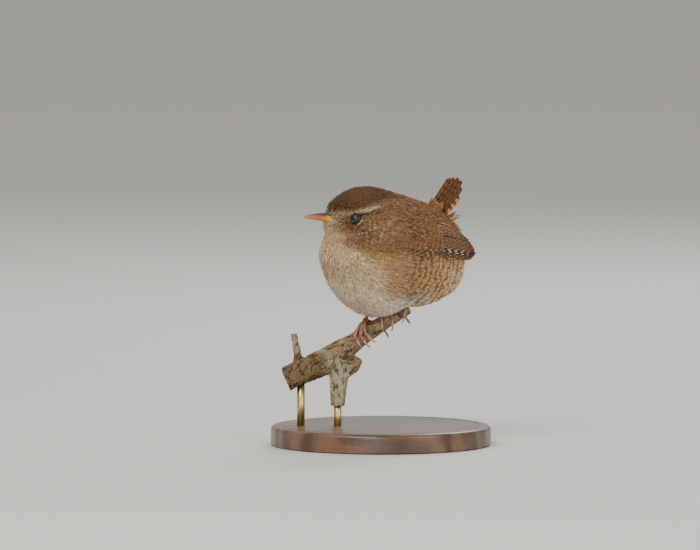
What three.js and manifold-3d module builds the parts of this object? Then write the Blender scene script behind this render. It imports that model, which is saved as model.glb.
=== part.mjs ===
// A Eurasian wren at life size, fluffed up with its tail cocked, gripping a forked twig over a round base.
// Millimetres, +Z up. The origin is the centre of the base's underside.
// The bird's own frame has its origin in the middle of the body: it looks along -X, its left side is -Y.
// It is turned so that its breast comes round a little towards the world's -Y.
import * as THREE from "three";
import { mergeVertices } from "three/addons/utils/BufferGeometryUtils.js";
import Module from "manifold-3d";

const wasm = await Module();
wasm.setup();

// Driving dimensions
const gap = 0.3; // clearance kept between pieces that touch
const bodyAt = [4.5, 1, 78.9]; // middle of the body above the centre of the base
const bodyTurn = 24; // degrees the breast is turned towards -Y
const headAt = [-13, 0, 14]; // middle of the head in the bird's frame
const headTurn = -4; // degrees the head is turned back towards -X
const blend = 3.2; // softness of the joins between the forms of the plumage
const dent = 1.6; // softness of the hollows in the face

const eyeRadius = 2.6; // the whole ball
const eyeShown = 1.6; // radius of the ball where it leaves the lids
const eyeSunk = 0.6; // how deep the lids lie in the feathers of the face
const lidThick = 0.35; // radius of the ring the lids make
const dishRadius = 7; // ball that hollows the feathers round the eye

const mouthGap = 0.3; // between the two halves of the bill

const featherThick = 0.5;
const featherOverlap = 0.9; // how far a feather's edge reaches over its neighbour's
const featherRise = 1.25; // how much a feather's outer edge stands above its inner edge

const toeRadius = 0.62;
const clawRadius = 0.46; // at its root
const clawPoint = 0.12; // radius at its point
const heelRadius = 1.15; // pad where a foot's toes meet
const legRadius = 0.8;
const hipRise = [2.2, 1.6, 6.5]; // from the heel to the end of the leg inside the belly

const baseRadius = 45;
const baseThick = 8;
const baseEdge = 1.6; // rounding of the base's rim
const rodRadius = 1.6;
const rodDepth = 3; // how far a rod goes into the base and the perch
const rimSteps = 3; // facets round the base's rim
const footEdge = 0.6; // bevel under the base
const sliver = 0.03; // faces that matter less than this are merged away
const reach = 60; // longer than any line from the middle of the body to its plumage

// Small helpers
const degrees = THREE.MathUtils.degToRad;
const V = (p) => new THREE.Vector3(...p);
const mix = THREE.MathUtils.lerp;
const clamp = THREE.MathUtils.clamp;

function place(at, turn) {
  return new THREE.Matrix4().makeRotationZ(degrees(turn)).setPosition(V(at));
}

const birdPlace = place(bodyAt, bodyTurn);
const toBird = birdPlace.clone().invert();
const headPlace = place(headAt, headTurn);

// A closed geometry as a solid for joining and cutting.
function solid(geometry) {
  const bare = geometry.clone();
  bare.deleteAttribute("normal");
  bare.deleteAttribute("uv");
  const merged = mergeVertices(bare, 1e-4);
  const vertProperties = new Float32Array(merged.attributes.position.array);
  const triVerts = new Uint32Array(merged.index.array);
  const made = new wasm.Manifold(new wasm.Mesh({ numProp: 3, vertProperties, triVerts }));
  if (made.volume() > 0) return made;
  for (let i = 0; i < triVerts.length; i += 3) {
    [triVerts[i + 1], triVerts[i + 2]] = [triVerts[i + 2], triVerts[i + 1]];
  }
  return new wasm.Manifold(new wasm.Mesh({ numProp: 3, vertProperties, triVerts }));
}

// The largest closed body of a solid, without the slivers that joining leaves.
function largest(made) {
  return made
    .decompose()
    .reduce((a, b) => (b.volume() > a.volume() ? b : a))
    .simplify(sliver);
}

function geometryOf(made) {
  const mesh = made.getMesh();
  const geometry = new THREE.BufferGeometry();
  geometry.setAttribute("position", new THREE.BufferAttribute(mesh.vertProperties, 3));
  geometry.setIndex(new THREE.BufferAttribute(mesh.triVerts, 1));
  geometry.computeVertexNormals();
  return geometry;
}

function join(solids) {
  return solids.reduce((a, b) => a.add(b));
}

// A solid moved or mirrored by a matrix.
function inFrame(made, matrix) {
  return solid(geometryOf(made).applyMatrix4(matrix));
}

// The other side's copy of a geometry made for the left side.
function mirrored(geometry) {
  const other = geometry.clone().applyMatrix4(new THREE.Matrix4().makeScale(1, -1, 1));
  const index = other.index.array;
  for (let i = 0; i < index.length; i += 3) {
    [index[i + 1], index[i + 2]] = [index[i + 2], index[i + 1]];
  }
  other.computeVertexNormals();
  return other;
}

// Plumage: rounded forms that run softly into one another, each with a middle, half sizes and a pitch.
const bodyForms = {
  breast: { at: [-7, 0, -3], size: [21.8, 21.4, 20.1], pitch: 0 },
  belly: { at: [-7.2, 0, -10], size: [13.4, 17.6, 15.2], pitch: 0 },
  back: { at: [1.5, 0, 7], size: [21, 18, 16], pitch: -14 },
  rump: { at: [15, 0, 2], size: [14.5, 17, 13], pitch: 0 },
  vent: { at: [16.5, 0, -8.5], size: [12.5, 14.5, 11.5], pitch: 0 },
  throat: { at: [-14.5, 0, 3], size: [10, 11, 11], pitch: 0 },
};
const headForms = {
  crown: { at: [0, 0, 1], size: [14.3, 11, 12.1], pitch: 0 },
  face: { at: [-6.5, 0, -1.5], size: [7.2, 6.2, 7], pitch: 0 },
};
// Hollows of the face, mirrored on both sides: the lores run in towards the bill.
const headHollows = {
  lores: { at: [-15.6, -9.6, 1], size: [5.4, 3.2, 4.6], pitch: 0 },
};

function prepare(forms, frame) {
  return Object.values(forms).map(({ at, size, pitch }) => ({
    inverse: new THREE.Matrix4()
      .multiplyMatrices(frame, new THREE.Matrix4().makeRotationY(degrees(-pitch)).setPosition(V(at)))
      .invert(),
    size: V(size),
  }));
}

const mirror = new THREE.Matrix4().makeScale(1, -1, 1);
const plumage = [...prepare(bodyForms, new THREE.Matrix4()), ...prepare(headForms, headPlace)];
const hollows = [
  ...prepare(headHollows, headPlace),
  ...prepare(headHollows, new THREE.Matrix4().multiplyMatrices(headPlace, mirror)),
];

// About how far a point of the bird's frame is outside one form.
function outsideForm(point, { inverse, size }) {
  const near = point.clone().applyMatrix4(inverse).divide(size);
  const far = near.clone().divide(size).length();
  const share = near.length();
  return share < 1e-6 ? -Math.min(size.x, size.y, size.z) : (share * (share - 1)) / far;
}

// About how far a point of the bird's frame is outside the plumage.
function outside(point) {
  const sum = plumage.reduce((total, form) => total + Math.exp(-outsideForm(point, form) / blend), 0);
  const carve = (distance, form) =>
    dent * Math.log(Math.exp(distance / dent) + Math.exp(-outsideForm(point, form) / dent));
  return hollows.reduce(carve, -blend * Math.log(sum));
}

// The point of the plumage, grown by some millimetres, that a direction from a middle point meets.
function surfaceFrom(middle, direction, grown = 0) {
  let low = 0;
  let high = reach;
  while (high - low > 1e-5) {
    const half = (low + high) / 2;
    if (outside(middle.clone().addScaledVector(direction, half)) < grown) {
      low = half;
    } else {
      high = half;
    }
  }
  return middle.clone().addScaledVector(direction, low);
}

function plumageSolid(middle, detail, grown = 0) {
  const geometry = new THREE.IcosahedronGeometry(1, detail);
  const position = geometry.attributes.position;
  const direction = new THREE.Vector3();
  for (let i = 0; i < position.count; i++) {
    direction.fromBufferAttribute(position, i).normalize();
    const p = surfaceFrom(middle, direction, grown);
    position.setXYZ(i, p.x, p.y, p.z);
  }
  return solid(geometry);
}

// The outward direction of the plumage at a point.
function outwardAt(point) {
  const step = 0.05;
  const slope = ["x", "y", "z"].map((axis) => {
    const ahead = point.clone();
    const behind = point.clone();
    ahead[axis] += step;
    behind[axis] -= step;
    return outside(ahead) - outside(behind);
  });
  return V(slope).normalize();
}

// Everything that lies on the side of a plane that its normal points to.
function beyond(point, normal) {
  const turn = new THREE.Quaternion().setFromUnitVectors(V([0, 0, 1]), V(normal).normalize());
  const geometry = new THREE.BoxGeometry(3 * reach, 3 * reach, 2 * reach).translate(0, 0, reach);
  return solid(geometry.applyMatrix4(new THREE.Matrix4().compose(V(point), turn, V([1, 1, 1]))));
}

function ball(middle, radius, detail = 3) {
  return solid(new THREE.IcosahedronGeometry(radius, detail).translate(middle.x, middle.y, middle.z));
}

// A closed tube through rings of points, all with the same count, in order round the tube.
function tube(rings) {
  const sides = rings[0].length;
  const middleOf = (ring) => ring.reduce((sum, p) => sum.add(p), new THREE.Vector3()).divideScalar(sides);
  const points = [...rings.flat(), middleOf(rings[0]), middleOf(rings.at(-1))];
  const first = rings.length * sides;
  const index = [];
  for (let side = 0; side < sides; side++) {
    const next = (side + 1) % sides;
    const end = (rings.length - 1) * sides;
    for (let ring = 0; ring + 1 < rings.length; ring++) {
      const a = ring * sides;
      const b = a + sides;
      index.push(a + side, b + next, a + next, a + side, b + side, b + next);
    }
    index.push(first, side, next, first + 1, end + next, end + side);
  }
  const geometry = new THREE.BufferGeometry().setFromPoints(points);
  return solid(geometry.setIndex(index));
}

// A round limb along points, each [x, y, z, radius]. rough(share, angle) takes millimetres off its radius.
function limb(stations, sides, steps, { grown = 0, rough = () => 0 } = {}) {
  const curve = new THREE.CatmullRomCurve3(stations.map((s) => V(s)));
  const frames = curve.computeFrenetFrames(steps, false);
  const parts = 60 * (stations.length - 1);
  const lengths = curve.getLengths(parts);
  const marks = stations.map((_, i) => lengths[60 * i] / lengths[parts]);
  const radiusAt = (share) => {
    const i = clamp(marks.findIndex((mark) => mark >= share), 1, marks.length - 1);
    const within = (share - marks[i - 1]) / (marks[i] - marks[i - 1]);
    return mix(stations[i - 1][3], stations[i][3], clamp(within, 0, 1));
  };
  const rings = [];
  for (let step = 0; step <= steps; step++) {
    const share = step / steps;
    const middle = curve.getPointAt(share);
    if (step === 0) middle.addScaledVector(frames.tangents[0], -grown);
    if (step === steps) middle.addScaledVector(frames.tangents[steps], grown);
    const ring = [];
    for (let side = 0; side < sides; side++) {
      const angle = (2 * Math.PI * side) / sides;
      const radius = radiusAt(share) - rough(share, angle) + grown;
      ring.push(
        middle
          .clone()
          .addScaledVector(frames.normals[step], radius * Math.cos(angle))
          .addScaledVector(frames.binormals[step], radius * Math.sin(angle)),
      );
    }
    rings.push(ring);
  }
  return tube(rings);
}

// Feathers are thin plates. Their outline, from the root at 0 to the tip at 1, as a share of the half width:
const vaneShares = [0, 0.36, 0.72, 0.9, 1];

function breadth(share) {
  const round = share < 0.72 ? 1 : Math.sqrt(1 - ((share - 0.72) / 0.3) ** 2);
  return Math.min(1, 0.6 + 1.6 * share) * round;
}

// edgesAt(share, halfWidth) gives the two edges of a feather's middle plane and its outward direction.
function vane(halfWidth, edgesAt) {
  return tube(
    vaneShares.map((share) => {
      const [a, b, up] = edgesAt(share, halfWidth * breadth(share));
      const rise = up.clone().setLength(featherThick / 2);
      return [a.clone().add(rise), b.clone().add(rise), b.clone().sub(rise), a.clone().sub(rise)];
    }),
  );
}

// A feather laid on a curved sheet: sheet(along, across, height) is a point of it. The edge with the larger
// across is tucked under the next feather, and the other edge stands out over the one before.
function sheetVane(sheet, { root, tip, halfWidth, heights }) {
  const run = Math.hypot(tip[0] - root[0], tip[1] - root[1]);
  const aside = [-(tip[1] - root[1]) / run, (tip[0] - root[0]) / run];
  const edgesAt = (share, half) => {
    const s = mix(root[0], tip[0], share);
    const t = mix(root[1], tip[1], share);
    const height = mix(heights[0], heights[1], share);
    const tilt = (featherRise / 2) * (half / halfWidth);
    const tucked = sheet(s + aside[0] * half, t + aside[1] * half, height - tilt);
    const proud = sheet(s - aside[0] * half, t - aside[1] * half, height + tilt);
    return [tucked, proud, sheet(s, t, height + 1).sub(sheet(s, t, height))];
  };
  return vane(halfWidth, edgesAt);
}

// Head, neck and torso are cut from the plumage by two planes that lean forward and up.
const neckNormal = [-0.72, 0, 0.7];
const headCut = [-13, 0, 9];
const neckLength = 4.5;
const bodyMiddle = V([-3, 0, 0]);
const headMiddle = V(headAt);
const bodyDetail = 9;
const headDetail = 9;

// Eyes: the ball sits in a socket behind two lids that make a low ring. Places are in the head's frame.
const eyeLevel = [-8.6, 0, 1.1];
const eyeHeight = Math.sqrt(eyeRadius ** 2 - eyeShown ** 2); // from the ball's middle to the lids

function eyeOnSide(side) {
  const start = V(eyeLevel).applyMatrix4(headPlace);
  const out = V([0, side, 0]).transformDirection(headPlace);
  const skin = surfaceFrom(start, out);
  const normal = outwardAt(skin);
  const lidMiddle = skin.clone().addScaledVector(normal, -eyeSunk);
  return { normal, lidMiddle, ballMiddle: lidMiddle.clone().addScaledVector(normal, -eyeHeight) };
}

function eyeLids({ normal, lidMiddle }) {
  const ring = new THREE.TorusGeometry(eyeShown + gap + lidThick, lidThick, 6, 16);
  const turn = new THREE.Quaternion().setFromUnitVectors(V([0, 0, 1]), normal);
  return solid(ring.applyMatrix4(new THREE.Matrix4().compose(lidMiddle, turn, V([1, 1, 1]))));
}

function eyeDish({ normal, lidMiddle }) {
  return ball(lidMiddle.clone().addScaledVector(normal, dishRadius), dishRadius, 5);
}

// Bill, in the head's frame, from tip to root: the edge between its halves, the ridge above, the keel below.
const billStations = [
  { x: -25.5, edge: 1.05, ridge: 1.3, keel: 0.8, half: 0.2 },
  { x: -24.6, edge: 1.1, ridge: 1.7, keel: 0.5, half: 0.45 },
  { x: -22.8, edge: 1.1, ridge: 2.15, keel: 0.2, half: 0.75 },
  { x: -20.2, edge: 1, ridge: 2.5, keel: -0.25, half: 1.1 },
  { x: -17.4, edge: 0.8, ridge: 2.7, keel: -0.9, half: 1.55 },
  { x: -14.8, edge: 0.2, ridge: 2.7, keel: -1.5, half: 2.15 },
  { x: -12.2, edge: -0.7, ridge: 2.3, keel: -2, half: 2.9 },
  { x: -10.6, edge: -1.2, ridge: 1.3, keel: -1.9, half: 2.9 },
];
const billSides = 12;

function billHalf(upper, grown = 0) {
  const last = billStations.length - 1;
  const rings = billStations.map(({ x, edge, ridge, keel, half }, i) => {
    const lip = edge + (upper ? mouthGap / 2 : -mouthGap / 2) + (upper ? -grown : grown);
    const far = upper ? ridge + grown : keel - grown;
    const out = i === 0 ? -grown : i === last ? grown : 0;
    return Array.from({ length: billSides }, (_, side) => {
      const angle = (2 * Math.PI * side) / billSides;
      const rise = Math.max(0, Math.sin(angle)) ** 0.8 + Math.min(0, Math.sin(angle)) * 0.02;
      const y = (half + grown) * Math.cos(angle);
      return V([x + out, y, mix(lip, far, rise)]).applyMatrix4(headPlace);
    });
  });
  return tube(rings);
}

const nostrilAt = [-16.4, 1.35, 1.8];
const nostrilSize = [0.85, 0.5, 0.28];
const nostrilPitch = -8;

function nostril(side) {
  const slit = new THREE.IcosahedronGeometry(1, 1).scale(...nostrilSize);
  slit.applyMatrix4(new THREE.Matrix4().makeRotationY(degrees(nostrilPitch)));
  slit.translate(nostrilAt[0], side * nostrilAt[1], nostrilAt[2]);
  return solid(slit.applyMatrix4(headPlace));
}

const billUpper = billHalf(true).subtract(join([nostril(1), nostril(-1)]));
const billLower = billHalf(false);
const billClearance = join([billHalf(true, gap), billHalf(false, gap)]);

const bodyGrown = plumageSolid(bodyMiddle, bodyDetail, gap);

// Wings: folded on an oval sheet beside the body. A place on the sheet is how far it lies behind the wrist,
// how far above the wing's middle line, and how far out.
const wingSheet = { middle: [-2, 0, 0], size: [38.6, 22.6, 25] };
const wingWrist = [-7.5, 4];
const wingDroop = degrees(7.8);

function wingPoint(s, t, height) {
  const x = wingWrist[0] + s * Math.cos(wingDroop) + t * Math.sin(wingDroop);
  const z = wingWrist[1] - s * Math.sin(wingDroop) + t * Math.cos(wingDroop);
  const [a, b, c] = wingSheet.size;
  const dx = x - wingSheet.middle[0];
  const y = -b * Math.sqrt(Math.max(0.02, 1 - (dx / a) ** 2 - (z / c) ** 2));
  const normal = V([dx / a ** 2, y / b ** 2, z / c ** 2]).normalize();
  return V([x, y, z]).addScaledVector(normal, height);
}

// A rounded pad on the sheet, from its middle place and half sizes.
function wingPad(middle, size, detail) {
  const geometry = new THREE.IcosahedronGeometry(1, detail);
  const position = geometry.attributes.position;
  for (let i = 0; i < position.count; i++) {
    const ball = [position.getX(i), position.getY(i), position.getZ(i)];
    const p = wingPoint(...ball.map((v, k) => middle[k] + v * size[k]));
    position.setXYZ(i, p.x, p.y, p.z);
  }
  return solid(geometry);
}

// A tier of feathers from the lowest to the highest: each place is worked out from the feather's number.
function tier(count, describe) {
  return Array.from({ length: count }, (_, i) => sheetVane(wingPoint, describe(i, i / (count - 1))));
}

const primaries = tier(6, (i, share) => ({
  root: [5, mix(1, 2.8, share)],
  tip: [41.6 - 0.6 * (i - 1.8) ** 2, mix(-2.9, 2.4, share)],
  halfWidth: 1.1,
  heights: [-1.2, mix(-0.9, -0.4, share)],
}));
const secondaries = tier(4, (i, share) => ({
  root: [8, mix(2.4, 5.4, share)],
  tip: [mix(37, 33.6, share), mix(3.2, 6.6, share)],
  halfWidth: 1.15,
  heights: [-1.0, mix(-0.3, -0.1, share)],
}));
const tertials = tier(3, (i, share) => ({
  root: [12, mix(6.2, 9, share)],
  tip: [mix(32.6, 24.4, share), mix(7.4, 10.6, share)],
  halfWidth: 1.5,
  heights: [-0.8, 0.1],
}));
const greaterCoverts = tier(6, (i, share) => ({
  root: [6, mix(0.4, 8.2, share)],
  tip: [mix(17.6, 19.2, Math.sin(Math.PI * share)) - 1.5 * share, mix(-0.9, 9.4, share)],
  halfWidth: 1.5,
  heights: [-0.2, 0.95],
}));
const medianCoverts = tier(4, (i, share) => ({
  root: [3, mix(0.8, 7.2, share)],
  tip: [mix(12.2, 13.4, Math.sin(Math.PI * share)), mix(0.3, 8.4, share)],
  halfWidth: 1.6,
  heights: [0.3, 1.5],
}));
const alula = tier(2, (i, share) => ({
  root: [1, mix(-0.6, 0.4, share)],
  tip: [mix(13, 16.5, share), mix(-2.2, -1.4, share)],
  halfWidth: 0.95,
  heights: [-0.2, 0.3],
}));

const wingCore = wingPad([8, 4.2, -1.6], [11, 6.8, 2.9], 3);
const bedMiddle = [16, 3.4, 3];
const bedSize = [26, 9.2, 4.6];
const wingBed = wingPad(bedMiddle, bedSize, 4);
const wingBedInner = wingPad(
  bedMiddle,
  bedSize.map((half) => half - gap),
  4,
);
const wingFeathers = [primaries, secondaries, tertials, greaterCoverts, medianCoverts, alula].flat();
const wingSolid = largest(join([wingCore, ...wingFeathers]).subtract(bodyGrown.subtract(wingBedInner)));

// Tail: a steep roof of twelve feathers. A place on it is how far it lies along the tail, how far down the
// side from the ridge and how far out.
const tailRoot = [10.7, 0, 4.2];
const tailTip = [28.8, 0, 29.6];
const tailLength = Math.hypot(tailTip[0] - tailRoot[0], tailTip[2] - tailRoot[2]);
const tailAxis = V(tailTip).sub(V(tailRoot)).normalize();
const tailDorsal = V([-tailAxis.z, 0, tailAxis.x]);
const roofTop = degrees(38); // slope of the roof beside its ridge
const roofFoot = degrees(84); // slope at its lower edge
const roofSide = 10.6; // width of one side
const roofRise = 3.2; // the ridge above the tail's axis
const roofPinch = 0.62; // width at the root as a share of the width at the tip

function tailPoint(s, q, height) {
  const spread = mix(roofPinch, 1, clamp(s / tailLength, 0, 1.1));
  const side = Math.sign(q) || 1;
  const run = (Math.abs(q) / roofSide) * (roofFoot - roofTop);
  const bend = (roofFoot - roofTop) / roofSide;
  const across = (Math.sin(roofTop + run) - Math.sin(roofTop)) / bend;
  const down = (Math.cos(roofTop) - Math.cos(roofTop + run)) / bend;
  const slope = roofTop + run;
  const point = V(tailRoot).addScaledVector(tailAxis, s);
  point.y -= side * spread * across;
  point.addScaledVector(tailDorsal, roofRise - spread * down);
  const out = tailDorsal.clone().multiplyScalar(Math.cos(slope)).add(V([0, -side * Math.sin(slope), 0]));
  return point.addScaledVector(out, height);
}

const tailSpacing = 1.7;
const rectrixRoot = 4; // where the feathers start along the tail
const rectrixStep = 0.12; // how much lower each lies than its inner neighbour
const rectrixShort = [2.4, 0.9, 0, 0.3, 2.6, 6.2]; // how much shorter each is, from the middle pair out

function rectrix(i, side) {
  const q = side * (tailSpacing / 2 - 0.2 + i * tailSpacing);
  const half = (tailSpacing + featherOverlap) / 2;
  const edgesAt = (share, width) => {
    const s = mix(rectrixRoot, tailLength - rectrixShort[i], share);
    const tilt = (featherRise / 2) * (width / half);
    const inner = tailPoint(s, q - side * width, -tilt - rectrixStep * i);
    const outer = tailPoint(s, q + side * width, tilt - rectrixStep * i);
    return [inner, outer, tailPoint(s, q, 1).sub(tailPoint(s, q, 0))];
  };
  return vane(half, edgesAt);
}

// Coverts round the root of the tail: each has its angle round the tail from its back, how far along the
// tail its tip lies and how far out of the axis its root and its tip stand.
const covertRoot = 8;
const covertSink = 1.6; // how far their common axis lies below the tail's

function covert(angle, tip, spread, halfWidth) {
  const out = tailDorsal.clone().multiplyScalar(Math.cos(angle)).add(V([0, -Math.sin(angle), 0]));
  const aside = new THREE.Vector3().crossVectors(tailAxis, out);
  const edgesAt = (share, half) => {
    const middle = V(tailRoot).addScaledVector(tailAxis, mix(covertRoot, tip, share));
    middle.addScaledVector(tailDorsal, -covertSink).addScaledVector(out, mix(...spread, share ** 1.6));
    const edge = aside.clone().multiplyScalar(half);
    return [middle.clone().sub(edge), middle.clone().add(edge), out];
  };
  return vane(halfWidth, edgesAt);
}

const upperCoverts = [-0.9, -0.3, 0.3, 0.9].map((turn, i) =>
  covert(turn, 19.5 - 0.8 * (i % 2), [5.2, 6.2], 1.7),
);
const underCoverts = [-1, -0.62, -0.25, 0.25, 0.62, 1].map((turn, i) =>
  covert(Math.PI + turn, 19 - 1.4 * (i % 2), [5.4, 8.6 - 0.5 * (i % 2)], 1.6),
);

const tailAcross = new THREE.Vector3().crossVectors(tailAxis, V([0, 1, 0]));
const tailCoreSize = [9.5, 5.4, 5.4];
const tailCoreMiddle = V(tailRoot).addScaledVector(tailAxis, 12.5).addScaledVector(tailDorsal, -0.8);
const tailCoreFrame = new THREE.Matrix4().makeBasis(tailAxis, V([0, 1, 0]), tailAcross);
const tailCore = solid(
  new THREE.IcosahedronGeometry(1, 3)
    .scale(...tailCoreSize)
    .applyMatrix4(tailCoreFrame.setPosition(tailCoreMiddle)),
);
const rectrices = [0, 1, 2, 3, 4, 5].flatMap((i) => [rectrix(i, 1), rectrix(i, -1)]);
const tailPieces = [tailCore, ...rectrices, ...upperCoverts, ...underCoverts];
const tailSolid = largest(join(tailPieces).subtract(bodyGrown));

// Perch, in the world's frame: a branch that forks into the twig under the bird, with the stick below the
// fork and three short stubs, each from its stations [x, y, z, radius].
const bark = (depth) => (share, angle) =>
  depth * (1 + 0.6 * Math.sin(3 * angle + 9 * share) + 0.4 * Math.sin(5 * angle - 21 * share));
const twigStations = [
  [-16.3, 0, 38.4, 5.2],
  [-10.6, -0.4, 42.3, 4.1],
  [-3.7, -1, 47.1, 3.6],
  [3.2, -1.6, 51.3, 3.0],
  [7.6, -2, 53.6, 2.6],
  [11.9, -2.4, 55.6, 1.9],
];
const perchLimbs = {
  branch: {
    stations: [
      [-39.2, 0.5, 26.8, 5.7],
      [-32.7, 0.5, 29.5, 5.7],
      [-24.1, 0.2, 33.6, 6.1],
      [-16.3, 0, 38.4, 5.2],
    ],
    sides: 12,
    steps: 7,
    depth: 0.25,
  },
  twig: { stations: twigStations, sides: 12, steps: 10, depth: 0.1 },
  stick: {
    stations: [
      [-16.6, -0.5, 37, 4.7],
      [-17.2, -0.6, 27, 4.3],
      [-17.8, -0.4, 15.5, 3.4],
    ],
    sides: 10,
    steps: 6,
    depth: 0.22,
  },
  knob: {
    stations: [
      [-14.8, -1.4, 28.5, 2.4],
      [-11.6, -2, 31.6, 2.9],
      [-8.8, -2.2, 35.6, 2.2],
    ],
    sides: 8,
    steps: 4,
    depth: 0.15,
  },
  stub: {
    stations: [
      [-16.2, -2.6, 33, 2.7],
      [-14.6, -4.2, 37, 2.8],
      [-13, -5, 41, 2.6],
    ],
    sides: 10,
    steps: 4,
    depth: 0.1,
  },
  snag: {
    stations: [
      [-33.8, 0.2, 31, 2.4],
      [-34.2, 0, 38, 2.1],
      [-35.6, -0.2, 45.8, 1.9],
    ],
    sides: 9,
    steps: 5,
    depth: 0.15,
  },
};

function perchSolid(grown) {
  return join(
    Object.values(perchLimbs).map(({ stations, sides, steps, depth }) =>
      limb(stations, sides, steps, { grown, rough: bark(depth) }),
    ),
  );
}

// Feet, in the world's frame. A toe winds round the twig from its top, to -Y where the turn is positive.
const twigCurve = new THREE.CatmullRomCurve3(twigStations.map((s) => V(s)));

function twigAt(x) {
  let low = 0;
  let high = 1;
  while (high - low > 1e-8) {
    const half = (low + high) / 2;
    if (twigCurve.getPointAt(half).x < x) {
      low = half;
    } else {
      high = half;
    }
  }
  const i = clamp(twigStations.findIndex((s) => s[0] >= x), 1, twigStations.length - 1);
  const [a, b] = [twigStations[i - 1], twigStations[i]];
  const radius = mix(a[3], b[3], clamp((x - a[0]) / (b[0] - a[0]), 0, 1));
  const tangent = twigCurve.getTangentAt(low);
  const top = V([0, 0, 1]).addScaledVector(tangent, -tangent.z).normalize();
  const front = new THREE.Vector3().crossVectors(tangent, top);
  return { middle: twigCurve.getPointAt(low), top, front, radius };
}

// A place on the twig: at x along it, turned some degrees from its top, some millimetres off its bark.
function onTwig(x, turn, off) {
  const { middle, top, front, radius } = twigAt(x);
  return middle
    .clone()
    .addScaledVector(top, Math.cos(degrees(turn)) * (radius + off))
    .addScaledVector(front, Math.sin(degrees(turn)) * (radius + off));
}

// Each foot stands at x on the twig. Each toe has the x of its end, its turns from root to end, and the turn
// and the x of its claw's point.
const feet = {
  right: {
    x: -3.6,
    toes: {
      inner: { to: -5.6, turns: [6, 96], claw: [152, -4.4] },
      middle: { to: -7.6, turns: [2, 104], claw: [158, -7] },
      outer: { to: -9.2, turns: [-2, 84], claw: [132, -9.6] },
      hind: { to: -0.4, turns: [-30, -128], claw: [-198, 0] },
    },
  },
  left: {
    x: 6.2,
    toes: {
      inner: { to: 1.4, turns: [6, 66], claw: [132, -0.6] },
      middle: { to: 5, turns: [4, 92], claw: [152, 2] },
      outer: { to: 10.6, turns: [2, 78], claw: [146, 6.8] },
      hind: { to: 8.8, turns: [-30, -124], claw: [-200, 10] },
    },
  },
};
const toeSteps = 7;
const clawSteps = 5;
const clawArch = 2; // how far a claw arches off the bark
const clawHook = 0.9; // how much of that arch the claw runs through
const toeOff = gap + toeRadius + 0.1; // middle of a toe above the bark

function toeStations(foot, toe) {
  return Array.from({ length: toeSteps + 1 }, (_, i) => {
    const share = i / toeSteps;
    const x = mix(foot.x, toe.to, Math.min(1, share * 1.25));
    const knuckle = 0.08 * Math.cos(share * 6 * Math.PI);
    const radius = toeRadius * mix(1.08, 0.86, share) + knuckle;
    return [...onTwig(x, mix(...toe.turns, share), toeOff).toArray(), radius];
  });
}

function clawStations(toe) {
  const way = Math.sign(toe.claw[0] - toe.turns[1]);
  return Array.from({ length: clawSteps + 1 }, (_, i) => {
    const share = i / clawSteps;
    const turn = mix(toe.turns[1] + way * 9, toe.claw[0], share);
    const off = toeOff + clawArch * Math.sin(Math.PI * clawHook * share);
    const point = onTwig(mix(toe.to, toe.claw[1], share), turn, off);
    return [...point.toArray(), mix(clawRadius, clawPoint, share)];
  });
}

function footPieces(foot, grown) {
  const heel = onTwig(foot.x, 0, toeOff + 0.4);
  const toes = Object.values(foot.toes);
  const solids = toes.map((toe) => limb(toeStations(foot, toe), 6, toeSteps, { grown }));
  const claws = toes.map((toe) => limb(clawStations(toe), 5, clawSteps, { grown }));
  return { heel, claws, foot: join([ball(heel, heelRadius + grown, 2), ...solids]) };
}

// The body with a bed for each wing, cut into torso, neck and head.
function along(point, normal, distance) {
  return V(point).addScaledVector(V(normal).normalize(), distance).toArray();
}

const wingBeds = wingBed.add(inFrame(wingBed, mirror));
const wholeBody = plumageSolid(bodyMiddle, bodyDetail).subtract(wingBeds);
const behindNeck = neckNormal.map((n) => -n);
const torsoPiece = wholeBody.intersect(beyond(along(headCut, neckNormal, -neckLength - gap), behindNeck));
const neckPiece = wholeBody
  .intersect(beyond(along(headCut, neckNormal, -neckLength), neckNormal))
  .intersect(beyond(along(headCut, neckNormal, -gap), behindNeck));

const eyes = [eyeOnSide(-1), eyeOnSide(1)];
const headSolid = plumageSolid(headMiddle, headDetail)
  .subtract(wingBeds)
  .intersect(beyond(headCut, neckNormal))
  .subtract(join(eyes.map(eyeDish)))
  .add(join(eyes.map(eyeLids)))
  .subtract(join(eyes.map(({ ballMiddle }) => ball(ballMiddle, eyeRadius + gap, 3))))
  .subtract(billClearance);

const part = new THREE.Group();
const bird = new THREE.Group();
bird.applyMatrix4(birdPlace);
part.add(bird);

function add(group, name, made, { color, roughness, metalness = 0 }) {
  const material = new THREE.MeshStandardMaterial({ color, roughness, metalness });
  const mesh = new THREE.Mesh(made.isBufferGeometry ? made : geometryOf(made), material);
  mesh.name = name;
  group.add(mesh);
}

const looks = {
  plumage: { color: 0x8a6c4a, roughness: 0.9 },
  wing: { color: 0x7b5230, roughness: 0.85 },
  tail: { color: 0x6f4322, roughness: 0.85 },
  bill: { color: 0xb98a68, roughness: 0.45 },
  eye: { color: 0x120e0c, roughness: 0.08 },
  foot: { color: 0xa9744f, roughness: 0.6 },
  claw: { color: 0xb79a86, roughness: 0.45 },
  perch: { color: 0x75685a, roughness: 0.95 },
  base: { color: 0x5a3d26, roughness: 0.5 },
  rod: { color: 0xb08d4f, roughness: 0.3, metalness: 1 },
};

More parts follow.
